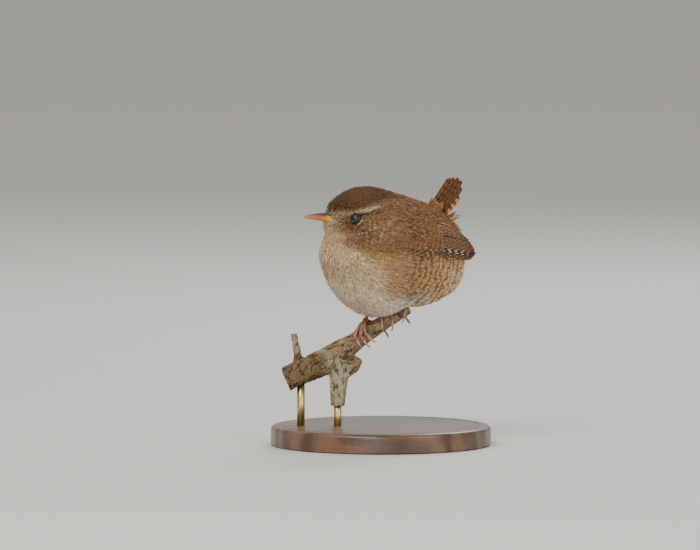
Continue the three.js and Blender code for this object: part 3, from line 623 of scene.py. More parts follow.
def regionSizes(points):  # spacing, length and width of the feathers at each point
    x, z = points[:, 0], points[:, 2]
    head = moved(points, toHead)
    hx, hz = head[:, 0], head[:, 2]
    shares = {"back": ramp(0, 6, z), "breast": ramp(-6, -16, x) * ramp(8, 0, z),
              "crown": ramp(1, 5, hz) * ramp(12, 6, hx), "face": ramp(1, -6, hx) * ramp(-12, -7, hz)}
    sizes = np.tile(coat["regions"]["flank"], (len(points), 1))
    for region, share in shares.items():
        sizes = paint(sizes, np.array(coat["regions"][region]), share)
    return sizes.T


def openCoat(points):  # clear of the bill's root, of the tail's root right behind it and of the gape
    x, y, z = moved(points, toHead).T
    ends, reach, level = coat["bare"]["ends"]
    clear = (np.abs(x) < ends) | (np.hypot(y, z - level) > reach)
    front, wide, near = coat["bare"]["gape"]
    overEdge = np.abs(z - np.interp(x, bill["x"], bill["edge"]))
    return clear & ((x > front) | (np.abs(y) > wide) | (overEdge > near))


def makeCoat(skinPoints, skinFaces, material):
    corners = skinPoints[skinFaces]
    areas = np.linalg.norm(np.cross(corners[:, 1] - corners[:, 0], corners[:, 2] - corners[:, 0]), axis=1)

    def spots(count):
        which = dice.choice(len(areas), count, p=areas / areas.sum())
        a, b = np.sqrt(dice.random(count))[:, None], dice.random(count)[:, None]
        first, second, third = corners[which].transpose(1, 0, 2)
        found = first * (1 - a) + second * (a * (1 - b)) + third * (a * b)
        found = found[~underWing(found)]
        for middle, out in eyes:
            height, flat = roundEye(found, middle, out)
            found = found[(np.linalg.norm(flat, axis=1) > coat["bare"]["eye"]) | (height[:, 0] < -6)]
        return found[openCoat(found)]

    vanes = coat["vanes"]
    roots = spots(vanes["candidates"])
    roots = roots[scatter(roots, regionSizes(roots)[0])]
    _, length, width = regionSizes(roots)
    templates = [vaneTemplate(*vanes["template"], seed) for seed in range(vanes["clumps"])]
    kind = dice.integers(0, len(templates), len(roots))
    print("contour feathers:", len(roots))
    made = []
    for i, template in enumerate(templates):
        chosen = kind == i
        n = chosen.sum()
        scale, lift = dice.uniform(*vanes["scale"], n), dice.uniform(*vanes["lift"], n)
        laid = layFeathers(roots[chosen], template, length[chosen] * scale, width[chosen] * scale,
                           vanes["thick"], lift, dice.normal(0, vanes["sway"], n), vanes["level"])
        made.append((roots[chosen], template, laid))
    addCoatPieces("coat_feathers", made, material, vanes["tint"])

    thin = coat["locks"]
    roots = spots(thin["candidates"])
    roots = roots[scatter(roots, regionSizes(roots)[0] * thin["share"])]
    _, length, width = regionSizes(roots)
    n = len(roots)
    print("barb locks:", n)
    length, width = length * dice.uniform(*thin["scale"], n), thin["width"] * (0.7 + 0.35 * width)
    lift = dice.uniform(*thin["lift"], n)
    most, threshold = thin["loose"]  # towards the rear some locks stand off
    lift = lift + ramp(14, 24, roots[:, 0]) * dice.uniform(0, most, n) * (dice.random(n) > threshold)
    template = lockTemplate()
    laid = layFeathers(roots, template, length, width, thin["thick"], lift, dice.normal(0, thin["sway"], n),
                       thin["level"])
    addCoatPieces("coat_locks", [(roots, template, laid)], material, thin["tint"])


def addCoatPieces(name, made, material, tintSpread):
    parts = {"front": lambda p: p[:, 0] < -8, "left": lambda p: (p[:, 0] >= -8) & (p[:, 1] < 0),
             "right": lambda p: (p[:, 0] >= -8) & (p[:, 1] >= 0)}
    for key, belongs in parts.items():
        gathered = {key: [] for key in ("points", "faces", "uv", "plumage", "flankBars", "backBars")}
        first = 0
        for roots, (local, localFaces), (laid, _, uv, along) in made:
            chosen = belongs(roots)
            count, size = chosen.sum(), len(local)
            if not count:
                continue
            mask = np.repeat(chosen, size)
            points = laid[mask]
            toned = mix(np.repeat(roots[chosen], size, 0), points, 0.65)  # keeps some of the root's colour
            colour, mottle, flank, back = plumageColour(toned)
            tint = np.repeat(np.exp(dice.normal(0, tintSpread, count)), size)
            pick = np.repeat(dice.random(count), size)
            least, share = coat["flecks"]["pale"]
            colour = paint(colour, tone["pale"], mottle * (pick > least) * share)
            most, share = coat["flecks"]["dark"]
            colour = paint(colour, tone["dark"], mottle * (pick < most) * share)
            # Painted shade: each feather is darker towards its root, where the feathers above cover it
            rootShade = 1 - 0.15 * ramp(0.4, 0, along[mask])
            colour = np.clip(colour * (tint * rootShade)[:, None], 0, 1)
            row = (points, repeated(localFaces, count, size) + first, uv[mask], colour, flank, back)
            for column, value in zip(gathered.values(), row):
                column.append(value)
            first += len(points)
        joined = {key: np.concatenate(column) for key, column in gathered.items()}
        points = moved(joined["points"], birdPlace) * mm
        bars = {bar: joined[bar] for bar in ("flankBars", "backBars")}
        piece = meshPiece(f"{name}_{key}", points, joined["faces"], material,
                          {"plumage": joined["plumage"]}, bars, {"OFBake": joined["uv"]})
        print(piece.name, len(piece.data.polygons), "faces")


plumageMaterial = plumageFinish()
skinPoints, skinFaces = makeSkin(plumageMaterial)
print("skin made")
makeCoat(skinPoints, skinFaces, plumageMaterial)
print("coat made")


# Closed tubes through rings of points, and closed slabs between two grids
def loft(rings):
    count, sides = rings.shape[:2]
    around = np.arange(sides)
    after = (around + 1) % sides
    faces = []
    for a in range(0, (count - 1) * sides, sides):
        b = a + sides
        faces += [np.stack([a + around, b + after, b + around], 1),
                  np.stack([a + around, a + after, b + after], 1)]
    first, end = count * sides, (count - 1) * sides
    faces += [np.stack([np.full(sides, first), after, around], 1),
              np.stack([np.full(sides, first + 1), end + around, end + after], 1)]
    points = np.concatenate([rings.reshape(-1, 3), rings[0].mean(0)[None], rings[-1].mean(0)[None]])
    faces = np.concatenate(faces)
    corners = points[faces]
    volume = np.einsum("ij,ij->", corners[:, 0], np.cross(corners[:, 1], corners[:, 2]))
    return points, faces if volume > 0 else faces[:, ::-1]


def tubeAlong(path, radii, sides, capped=4):  # a round limb with domed ends
    ways = unit(np.gradient(path, axis=0))
    low, high = [], []
    for a in np.linspace(0, math.pi / 2, capped + 1)[1:-1]:
        low.insert(0, (path[0] - ways[0] * radii[0] * math.sin(a), ways[0], radii[0] * math.cos(a)))
        high.append((path[-1] + ways[-1] * radii[-1] * math.sin(a), ways[-1], radii[-1] * math.cos(a)))
    angle = np.linspace(0, 2 * math.pi, sides, endpoint=False)[:, None]
    side = unit(np.cross(ways[0], (0.31, 0.22, 0.92)))
    rings = []
    for middle, way, radius in low + list(zip(path, ways, radii)) + high:
        side = unit(side - way * (side @ way))
        rings.append(middle + radius * (np.cos(angle) * side + np.sin(angle) * np.cross(way, side)))
    return np.array(rings)


def together(parts):  # meshes of points and faces as one mesh
    counts = np.cumsum([0] + [len(points) for points, _ in parts])
    faces = np.concatenate([own + first for (_, own), first in zip(parts, counts)])
    return np.concatenate([points for points, _ in parts]), faces


def slab(top, bottom):
    m, n = top.shape[:2]
    t = np.arange(m * n).reshape(m, n)
    b = t + m * n
    quads = [
        (t[:-1, :-1], t[1:, :-1], t[1:, 1:], t[:-1, 1:]), (b[:-1, :-1], b[:-1, 1:], b[1:, 1:], b[1:, :-1]),
        (t[:-1, 0], b[:-1, 0], b[1:, 0], t[1:, 0]), (t[:-1, -1], t[1:, -1], b[1:, -1], b[:-1, -1]),
        (t[0, :-1], t[0, 1:], b[0, 1:], b[0, :-1]), (t[-1, :-1], b[-1, :-1], b[-1, 1:], t[-1, 1:]),
    ]
    faces = np.concatenate([np.stack([c.ravel() for c in quad], 1) for quad in quads])
    flat = np.cross(top[1, 0] - top[0, 0], top[0, 1] - top[0, 0])
    if flat @ (top[0, 0] - bottom[0, 0]) < 0:
        faces = faces[:, ::-1]
    return np.concatenate([top.reshape(-1, 3), bottom.reshape(-1, 3)]), faces


# Wing and tail feathers: thin curved blades with a raised shaft
# dusk here is the colour of the painted shade on the tucked side of each feather's web
blade = {"along": 22, "cross": 9, "crowded": 1.6, "foot": 0.6, "opens": 1.6, "thick": 0.18,
         "shaft": (0.1, 0.14), "camber": 0.2, "fray": 0.22, "tint": 0.12, "fringe": (0.42, 0.31, 0.2),
         "dusk": (0.05, 0.028, 0.016)}
feathers = {  # duty: how narrow the bars are; stray: how far they wander; slip: from feather to feather; dusk: how strong the painted shade on the tucked side of the web is
    "primaries": {"ground": (0.066, 0.043, 0.028), "mark": (0.9, 0.74, 0.54), "spacing": 3.5, "duty": 0.05,
                  "slip": 0.5, "point": 0.45, "stray": 0.6, "dusk": 0.2, "fringe": 0.4},
    "outerPrimaries": {"ground": (0.125, 0.078, 0.047), "mark": (0.42, 0.27, 0.15), "spacing": 3.5,
                       "duty": 0.3, "slip": 1.0, "point": 0.45, "stray": 0.8, "dusk": 0.6, "fringe": 0.7},
    "secondaries": {"ground": (0.31, 0.166, 0.092), "mark": (0.035, 0.02, 0.012), "spacing": 2.4,
                    "duty": 0.1, "slip": 1.3, "point": 0.7, "stray": 2.4, "dusk": 1.0, "fringe": 0.2},
    "coverts": {"ground": (0.215, 0.105, 0.042), "mark": (0.045, 0.026, 0.014), "spacing": 2.1, "duty": 0.1,
                "slip": 0.4, "point": 0.7, "stray": 1.8, "dusk": 0.3, "fringe": 0.35},
    "spottedCoverts": {"ground": (0.1, 0.052, 0.026), "mark": (0.52, 0.35, 0.19), "spacing": 2.4,
                       "duty": 0.45, "slip": 1.2, "point": 0.7, "stray": 1.4, "dusk": 0.6, "fringe": 0.5},
    "tail": {"ground": (0.11, 0.05, 0.023), "mark": (0.03, 0.014, 0.007), "spacing": 2.7, "duty": 0.3,
             "slip": 0.5, "point": 0.86, "stray": 2.6, "dusk": 0.12, "fringe": 0.0},
    "tailEdge": {"ground": (0.34, 0.17, 0.07), "mark": (0.03, 0.018, 0.01), "spacing": 2.7, "duty": -0.2,
                 "slip": 0.4, "point": 0.86, "stray": 1.2, "dusk": 0.12, "fringe": 0.0},
    "upperTail": {"ground": (0.2, 0.09, 0.034), "mark": (0.05, 0.028, 0.014), "spacing": 2.2, "duty": 0.3,
                  "slip": 1.2, "point": 0.7, "stray": 2.4, "dusk": 0.2, "fringe": 0.0},
    "underTail": {"ground": (0.5, 0.37, 0.22), "mark": (0.06, 0.04, 0.025), "spacing": 2.0, "duty": 0.0,
                  "slip": 1.0, "point": 0.6, "stray": 1.0, "dusk": 0.2, "fringe": 0.7},
}
wholeFeather = ("spacing", "duty", "stray", "dusk", "fringe")  # the same all over one feather
bladeColours, bladeNumbers = ("ground", "mark"), ("run", "web", "share", "barb", "amount", *wholeFeather)


def featherBlade(kind, place, root, tip, half, heights, tilt=0.62, bow=0.0, curl=0.0):
    look = feathers[kind]
    share = 1 - (1 - np.linspace(0, 1, blade["along"])) ** blade["crowded"]  # rows crowd towards the tip
    u, w = np.meshgrid(share, np.linspace(-1, 1, blade["cross"]), indexing="ij")
    tipped = np.clip((u - look["point"]) / (1.004 - look["point"]), 0, 1)
    broad = half * np.minimum(1, blade["foot"] + blade["opens"] * u)
    broad = broad * np.sqrt(np.maximum(0.006, 1 - tipped**2))
    run = math.hypot(tip[0] - root[0], tip[1] - root[1])
    aside = (-(tip[1] - root[1]) / run, (tip[0] - root[0]) / run)
    out = w * broad + bow * np.sin(math.pi * u)
    fray = blade["fray"] * (0.5 if "tail" in kind else 1)
    ragged = dice.uniform(-1, 0.3, u.shape) * fray * np.clip((u - 0.8) / 0.2, 0, 1)
    s, t = (mix(root[i], tip[i], u) + aside[i] * out + ragged * (tip[i] - root[i]) / run for i in (0, 1))
    height = mix(*heights, u) - tilt * w * broad / half + blade["camber"] * (1 - w * w) + curl * u**5
    thin = blade["thick"] / 2 * (1 - 0.6 * w * w)
    high, wide = blade["shaft"]
    shaft = high * np.exp(-((w / wide) ** 2)) * (1 - 0.6 * u)
    points, faces = slab(place(s, t, height + thin + shaft), place(s, t, height - thin))
    slipped = s + look["slip"] * dice.uniform(-1, 1)
    barb = s + 0.8 * np.abs(w) * broad + 9 * dice.random()
    made = {key: np.concatenate([value.ravel()] * 2)
            for key, value in {"run": slipped, "web": w, "share": u, "barb": barb}.items()}
    tint = math.exp(dice.normal(0, blade["tint"]))
    count = len(points)
    made["amount"] = markShare(kind, made)
    made.update({key: np.full(count, look[key]) for key in wholeFeather})
    made.update(points=points, ground=np.tile(np.array(look["ground"]) * tint, (count, 1)),
                mark=np.tile(look["mark"], (count, 1)))
    return made, faces


# Where the spots of the primaries fade in and out
spotRow = (("run", 20.6, 21.6), ("run", 35.6, 34.4), ("web", -0.5, -0.66), ("web", -1.04, -0.94))


def markShare(kind, made):  # how strongly the markings show, by place on the feather
    web = made["web"]
    if kind in ("primaries", "outerPrimaries"):
        return math.prod(ramp(low, high, made[axis]) for axis, low, high in spotRow)
    if kind == "spottedCoverts":
        return ramp(-0.2, -0.5, web)
    if kind == "secondaries":
        return 0.5 * ramp(0.9, 0.5, web)
    if kind == "underTail":
        return ramp(0.98, 0.8, made["share"])
    return np.full(len(web), 0.85)


def bladeShade():
    shade = Shade("wren wing and tail feathers", roughness=0.8, Specular_IOR_Level=0.08)
    co = shade.objectSpace()
    run, web, share, barb, amount, spacing, duty, stray, dusk, fringe = shade.numbers(*bladeNumbers)
    wobble = shade.noise(co, 0.55, 4) - 0.5
    phase = (run + web.math("ABSOLUTE") * 0.9 + wobble * stray) / spacing * (2 * math.pi)
    wave = phase.math("SINE") - duty + (shade.noise(co, 1.3) - 0.5) * stray * 0.5
    broken = shade.softStep(shade.noise(co, 0.8), 0.4, 0.55)
    whole = 1 - stray * 0.36 * (1 - broken)
    bars = shade.softStep(wave, 0, 0.45) * whole * amount
    barbs = shade.noise(shade.add("ShaderNodeCombineXYZ", {}, [barb * 5.0, web * 0.6, 0]), 1.0, 3, 0.5)
    grain = shade.noise(co, 2.4)
    ground = shade.tinted("ground", 0.66 + grain * 0.4 + barbs * 0.3)
    colour = shade.blend(bars * (0.7 + barbs * 0.5), ground, shade.attribute("mark"))
    colour = shade.blend(shade.softStep(share, 0.93, 0.99) * fringe, colour, blade["fringe"])
    # Painted shade: the tucked side of each feather's web is darkened where the next feather lies over it
    shadedWeb = shade.softStep(web, -0.88, -0.6) * (1 - shade.softStep(web, -0.3, 0.1)) * dusk
    shade.feed(Base_Color=shade.blend(shadedWeb, colour, blade["dusk"]))
    shade.bump(barbs, 0.5, 0.00012)
    return shade.material


def addBlades(name, blades, material, replaced, flip=False):
    points, faces = together([(made["points"], own) for made, own in blades])
    colours, numbers = ({key: np.concatenate([made[key] for made, _ in blades]) for key in keys}
                        for keys in (bladeColours, bladeNumbers))
    if flip:
        points, faces = points * (1, -1, 1), faces[:, ::-1]
    piece = meshPiece(name, moved(points, birdPlace) * mm, faces, material, colours, numbers)
    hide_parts(replaced)
    print(name, len(blades), "feathers")


# Tiers of the wing: root and tip along and across it; a pair runs from the lowest feather to the highest
primaryTier = {"root": (5, (1.0, 3.6)), "tip": ((39.5, 43.4), (-2.0, 0.8)), "half": 1.0,
               "heights": (-1.0, (-0.9, -0.4)), "bow": (-0.6, 0.2)}
wingTiers = (
    {**primaryTier, "kind": "outerPrimaries", "count": 3, "span": (0, 0.4)},
    {**primaryTier, "kind": "primaries", "count": 3, "span": (0.6, 1.0)},
    {"kind": "secondaries", "count": 8, "root": (8, (3.0, 6.6)), "tip": ((41.0, 35.8), (1.9, 5.3)),
     "half": 0.95, "heights": (-1.0, (-0.35, -0.05)), "bow": (-0.1, 0.5)},
    {"kind": "secondaries", "count": 6, "root": (11, (8.0, 11.4)), "tip": ((35.0, 27.0), (5.9, 9.4)),
     "half": 1.15, "heights": (-0.8, 0.12), "bow": (0.6, 1.0)},
    {"kind": "spottedCoverts", "count": 4, "root": (5, (-0.6, 1.2)), "tip": ((17.5, 20.6), (-1.5, 1.3)),
     "half": 1.2, "heights": (-0.4, (0.3, 0.8)), "bow": -0.5},
    {"kind": "coverts", "count": 8, "root": (6, (1.8, 8.2)), "tip": ((20.6, 19.7), (2.2, 9.6)),
     "half": 1.2, "heights": (-0.3, 0.85), "tilt": 0.4},
    {"kind": "coverts", "count": 7, "root": (3, (0.6, 7.2)), "tip": (13.2, (0.5, 8.8)), "hump": 1.2,
     "half": 1.3, "heights": (0.2, 1.25), "tilt": 0.4},
    {"kind": "coverts", "count": 6, "root": (-1, (0.8, 6.2)), "tip": (7.6, (0.4, 7.4)), "hump": 1.0,
     "half": 1.2, "heights": (0.2, 1.3), "tilt": 0.4},
    {"kind": "spottedCoverts", "count": 3, "root": (1, (-0.8, 0.2)), "tip": ((11.5, 15.0), (-2.2, -1.0)),
     "half": 0.9, "heights": (-0.4, 0.3)},
)


def atShare(value, share):
    return mix(*value, share) if isinstance(value, tuple) else value


def makeWingBlades():
    blades = []
    for tier in wingTiers:
        for k in np.linspace(*tier.get("span", (0, 1)), tier["count"]).tolist():
            root, tip, heights = ([atShare(value, k) for value in tier[key]]
                                  for key in ("root", "tip", "heights"))
            tip[0] += tier.get("hump", 0) * math.sin(math.pi * k)
            blades.append(featherBlade(tier["kind"], wingPoint, root, tip, tier["half"], heights,
                                       tier.get("tilt", 0.62), atShare(tier.get("bow", 0.0), k)))
    return blades


tailFrame = {"root": np.array((10.7, 0, 4.2)), "tip": np.array((28.8, 0, 29.6)), "slopes": (38, 84),
             "side": 10.6, "rise": 3.2, "pinch": 0.62, "short": (2.4, 0.9, 0, 0.3, 2.6, 6.2), "spacing": 1.7,
             "half": 1.35, "layer": 0.12, "upper": {"count": 7, "turn": 1.05, "reach": 19.0},
             "under": {"count": 13, "turn": 0.95, "reach": 21.0}}
tailLength = float(np.linalg.norm(tailFrame["tip"] - tailFrame["root"]))
tailAxis = unit(tailFrame["tip"] - tailFrame["root"])
tailDorsal = np.array((-tailAxis[2], 0, tailAxis[0]))


def tailPoint(s, q, height):  # along the tail, down its side from the ridge, and out
    top, foot = (math.radians(a) for a in tailFrame["slopes"])
    aside = np.where(q < 0, 1.0, -1.0)[..., None] * np.array((0, 1.0, 0))
    spread = mix(tailFrame["pinch"], 1, np.clip(s / tailLength, 0, 1.1))
    bend = (foot - top) / tailFrame["side"]
    slope = top + np.abs(q) * bend
    across = (np.sin(slope) - math.sin(top)) / bend
    down = (math.cos(top) - np.cos(slope)) / bend
    point = tailFrame["root"] + tailAxis * s[..., None] + aside * (spread * across)[..., None]
    point = point + tailDorsal * (tailFrame["rise"] - spread * down)[..., None]
    out = tailDorsal * np.cos(slope)[..., None] + aside * np.sin(slope)[..., None]
    return point + out * height[..., None]


def covertPlace(angle):  # along the tail, across one covert and out of the tail's axis
    out = tailDorsal * math.cos(angle) + np.array((0, -math.sin(angle), 0))
    aside = np.cross(tailAxis, out)
    low = tailFrame["root"] - tailDorsal * 1.6
    return lambda s, t, h: low + tailAxis * s[..., None] + aside * t[..., None] + out * h[..., None]


def makeTailBlades():
    blades = []
    for i, short in enumerate(tailFrame["short"]):
        for side in (-1, 1):
            q, height = side * (0.62 + i * tailFrame["spacing"]), -tailFrame["layer"] * i
            kind = "tailEdge" if i > 4 else "tail"
            blades.append(featherBlade(kind, tailPoint, (4, q), (tailLength - short, q), tailFrame["half"],
                                       (height, height), tilt=-0.3 * side))
    upper, under = tailFrame["upper"], tailFrame["under"]
    for i, turn in enumerate(np.linspace(-upper["turn"], upper["turn"], upper["count"])):
        tip = upper["reach"] - 0.9 * (i % 2)
        blades.append(featherBlade("upperTail", covertPlace(turn), (6, 0), (tip, 0), 1.5, (4.4, 5.3), 0.1))
    for i, turn in enumerate(np.linspace(-under["turn"], under["turn"], under["count"])):
        tip = under["reach"] - 3.4 * dice.random() - 1.6 * abs(turn)
        curl, bow = dice.uniform(0.4, 3.8), dice.normal(0, 0.8)
        blades.append(featherBlade("underTail", covertPlace(math.pi + turn), (6, 0), (tip, 0), 1.3,
                                   (4.2, 6.9 - 0.5 * (i % 2)), 0.1, bow, curl))
    return blades


bladeMaterial = bladeShade()
wingBlades = makeWingBlades()
addBlades("wing_left_feathers", wingBlades, bladeMaterial, "wing_left")
addBlades("wing_right_feathers", wingBlades, bladeMaterial, "wing_right", flip=True)
addBlades("tail_feathers", makeTailBlades(), bladeMaterial, "tail")


billTones = {  # towards the tip, towards the root
    "ridge": ((0.11, 0.065, 0.045), (0.035, 0.03, 0.033)),
    "side": ((0.36, 0.15, 0.065), (0.28, 0.11, 0.045)),
    "lower": ((0.4, 0.145, 0.052), (0.44, 0.135, 0.032)), "gape": (0.62, 0.3, 0.035),
}


def billColours(points, upper):
    x, _, z = points.T
    back = ramp(-24, -16, x)[:, None]
    overEdge = z - np.interp(x, bill["x"], bill["edge"])
    ridge, side, lower = (mix(*np.array(billTones[key]), back) for key in ("ridge", "side", "lower"))
    colour = paint(side, ridge, ramp(0.15, 0.75, overEdge / 1.6)) if upper else lower
    gape = ramp(-17.2, -15.4, x) * ramp(1.3, 0.5, np.abs(overEdge))
    return paint(colour, np.array(billTones["gape"]), gape)


def makeBill(name):
    upper = name == "upper"
    x = bill["x"][0] + (bill["x"][-1] - bill["x"][0]) * (np.linspace(0, 1, bill["rings"]) ** 1.25)
    level = {key: np.interp(x, bill["x"], bill[key]) for key in ("edge", "ridge", "keel", "half")}
    for key in level:  # rounds the corners that the stations leave
        padded = np.pad(level[key], 4, mode="reflect", reflect_type="odd")
        level[key] = np.convolve(padded, np.ones(9) / 9, mode="valid")
    angle = np.linspace(0, 2 * math.pi, bill["sides"], endpoint=False)
    lip = level["edge"] + bill["gap"] / 2 * (1 if upper else -1)
    far = level["ridge" if upper else "keel"]
    z = lip[:, None] + (far - lip)[:, None] * np.maximum(0, np.sin(angle)) ** 0.8
    y = level["half"][:, None] * np.cos(angle)
    rings = np.stack([np.repeat(x[:, None], bill["sides"], 1), y, z], axis=-1)
    for side in (-1, 1) if upper else ():
        off = (rings - np.array(bill["nostril"]) * (1, side, 1)) / (1.0, 0.9, 0.34)
        dip = 0.42 * np.exp(-(off**2).sum(-1) * 1.6)
        rings = rings - dip[..., None] * np.array((0, side * 0.9, 0.35))
    points, faces = loft(rings)
    shade = Shade(f"bill {name}", roughness=0.38, Specular_IOR_Level=0.25, Coat_Weight=0.05)
    co = shade.objectSpace(turn=birdFrame["turn"] + headFrame["turn"])
    grain = shade.noise(co, 1.2, 4, 0.6, (0.35, 2.0, 2.0))
    shade.feed(Base_Color=shade.tinted("horn", 0.72 + grain * 0.56), Roughness=0.28 + grain * 0.25)
    shade.bump(grain, 0.3, 0.0001)
    placedPoints = moved(moved(points, headPlace), birdPlace) * mm
    piece = meshPiece(f"bill_{name}_horn", placedPoints, faces, shade.material,
                      {"horn": billColours(points, upper)})
    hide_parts(f"bill_{name}")


makeBill("upper")
makeBill("lower")


# Eyes: a glossy ball behind a thin dark ring of lid
lidRing = {"around": 64, "through": 12, "thick": 0.13, "uneven": 0.035, "proud": 0.02}


def eyelid(middle, out):  # points and quads of the lid's ring
    around, through = lidRing["around"], lidRing["through"]
    side = unit(np.cross(out, (0, 0, 1.0)))
    angle = np.linspace(0, 2 * math.pi, around, endpoint=False)
    small = np.linspace(0, 2 * math.pi, through, endpoint=False)
    ring = np.cos(angle)[:, None] * side + np.sin(angle)[:, None] * np.cross(side, out)
    thick = lidRing["thick"] + lidRing["uneven"] * np.cos(9 * angle + 1) * np.cos(4 * angle)
    hoop = middle + ring[:, None] * (eye["lid"] + thick[:, None] * np.cos(small))[..., None]
    hoop = hoop + out * (lidRing["proud"] + thick[:, None] * np.sin(small))[..., None]
    i, j = (part.ravel() for part in np.meshgrid(np.arange(around), np.arange(through), indexing="ij"))
    nextI, nextJ = (i + 1) % around, (j + 1) % through
    corners = ((i, nextJ), (nextI, nextJ), (nextI, j), (i, j))
    return hoop.reshape(-1, 3), np.stack([a * through + b for a, b in corners], axis=1)


def makeEyes():
    ball = Shade("eye", roughness=0.27, Specular_IOR_Level=0.3, Coat_Weight=0.06, Coat_Roughness=0.12)
    depths = ball.noise(ball.objectSpace(), 0.9, 3, 0.5)
    ball.feed(Base_Color=ball.blend(depths, (0.008, 0.006, 0.006), (0.022, 0.014, 0.01)))
    lid = Shade("eyelid", roughness=0.55)
    folds = lid.noise(lid.objectSpace(), 3.0, 3, 0.5)
    lid.feed(Base_Color=lid.blend(folds, (0.035, 0.024, 0.018), (0.12, 0.08, 0.055)))
    for name, (middle, out) in zip(("left", "right"), eyes):
        centre = middle - out * math.sqrt(eye["ball"] ** 2 - eye["shown"] ** 2)
        bm = bmesh.new()
        bmesh.ops.create_uvsphere(bm, u_segments=48, v_segments=24, radius=eye["ball"] * mm)
        bmesh.ops.translate(bm, vec=Vector(moved(centre[None], birdPlace)[0] * mm), verts=bm.verts)
        piece = bmeshPiece(f"eyeball_{name}", bm, ball.material)
        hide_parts(f"eye_{name}")
        points, quads = eyelid(middle, out)
        meshPiece(f"eyelid_{name}", moved(points, birdPlace) * mm, quads, lid.material)


makeEyes()


# Legs, toes and claws, in the stand's frame: a toe winds round the twig from its top
twigStations = np.array([  # along, front to back, height and radius
    (-16.3, 0, 38.4, 5.2), (-10.6, -0.4, 42.3, 4.1), (-3.7, -1, 47.1, 3.6),
    (3.2, -1.6, 51.3, 3.0), (7.6, -2, 53.6, 2.6), (11.9, -2.4, 55.6, 1.9),
])
feet = {  # a toe: where it ends, its first and last turn round the twig, the claw's last turn and end
    "toe": 0.78, "off": 0.9, "claw": 0.5, "arch": 2.0, "hip": (2.2, 1.6, 6.5), "heel": 1.3,
    "right": (-3.6, {"inner": (-5.6, 6, 96, 152, -4.4), "middle": (-7.6, 2, 104, 158, -7.0),
                     "outer": (-9.2, -2, 84, 132, -9.6), "hind": (-0.4, -30, -128, -198, 0.0)}),
    "left": (6.2, {"inner": (1.4, 6, 66, 132, -0.6), "middle": (5.0, 4, 92, 152, 2.0),
                   "outer": (10.6, 2, 78, 146, 6.8), "hind": (8.8, -30, -124, -200, 10.0)}),
}


def twigMiddle(x):
    fit = [np.polynomial.Polynomial.fit(twigStations[:, 0], twigStations[:, k], 4) for k in (1, 2)]
    return np.stack([x, fit[0](x), fit[1](x)], axis=-1)


def onTwig(x, turn, off):
    middle = twigMiddle(x)
    way = unit(twigMiddle(x + 0.1) - middle)
    top = unit(np.array((0, 0, 1.0)) - way * way[..., 2:])
    front = np.cross(way, top)
    radius = (np.interp(x, twigStations[:, 0], twigStations[:, 3]) + off)[..., None]
    angle = np.radians(turn)[..., None]
    return middle + (top * np.cos(angle) + front * np.sin(angle)) * radius


def skinShade(name, low, high, roughness, scale, depth):
    shade = Shade(name, roughness=roughness)
    grain = shade.noise(shade.objectSpace(), scale, 4)
    shade.feed(Base_Color=shade.blend(shade.softStep(grain, 0.3, 0.7), low, high))
    shade.bump(grain, 0.5, depth)
    return shade.material


def makeToe(stand, to, first, last, point, clawTo):  # the meshes of one toe and its claw
    share = np.linspace(0, 1, 64)
    x = mix(stand, to, np.minimum(1, share * 1.25))
    path = onTwig(x, mix(first, last, share), np.full(len(share), feet["off"]))
    radius = feet["toe"] * mix(1.1, 0.84, share) + 0.07 * np.cos(share * 6 * math.pi) * ramp(0, 0.2, share)
    radius = radius + 0.035 * np.abs(np.sin(share * 17 * math.pi))
    toe = loft(tubeAlong(path, radius, 16))
    share = np.linspace(0, 1, 30)
    off = feet["off"] + feet["arch"] * np.sin(math.pi * 0.9 * share)
    path = onTwig(mix(to, clawTo, share), mix(last + math.copysign(5, point - last), point, share), off)
    return toe, loft(tubeAlong(path, feet["claw"] * (1 - share) ** 0.75 + 0.05, 14))


def makeFeet():
    skin = skinShade("foot skin", (0.11, 0.05, 0.028), (0.33, 0.155, 0.088), 0.5, 1.6, 0.0001)
    horn = skinShade("claw horn", (0.2, 0.12, 0.09), (0.38, 0.25, 0.19), 0.35, 0.8, 0.00005)
    for side in ("left", "right"):
        stand, toes = feet[side]
        parts = []
        for toe, shape in toes.items():
            limb, (points, faces) = makeToe(stand, *shape)
            parts.append(limb)
            piece = meshPiece(f"{side}_{toe}_claw", points * mm, faces, horn)
            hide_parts(f"claw_{side}_{toe}")
        heel = onTwig(np.array([stand]), np.array([0.0]), np.array([feet["heel"]]))[0]
        padPath = heel + np.array(((-0.5, 0, 0), (0, 0, 0), (0.5, 0, 0)))
        parts.append(loft(tubeAlong(padPath, np.array([0.75, 0.95, 0.75]), 20, 6)))
        points, faces = together(parts)
        piece = meshPiece(f"toes_{side}", points * mm, faces, skin)
        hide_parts(f"foot_{side}")
        share = np.linspace(0, 1, 40)
        shank = heel + np.array(feet["hip"]) * share[:, None]
        radius = 0.72 + 0.04 * np.abs(np.sin(share * 9 * math.pi)) + 0.2 * ramp(0.6, 1, share)
        points, faces = loft(tubeAlong(shank, radius, 18))
        piece = meshPiece(f"tarsus_{side}", points * mm, faces, skin)
        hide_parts(f"leg_{side}")


makeFeet()
print("bill, eyes and feet made")


# Perch: the twig's own solid, made fine enough for bark
perchLook = {"voxel": 0.42, "smooth": 14, "deep": 1.6, "scale": 0.34, "crack": 0.12, "skin": 0.12}


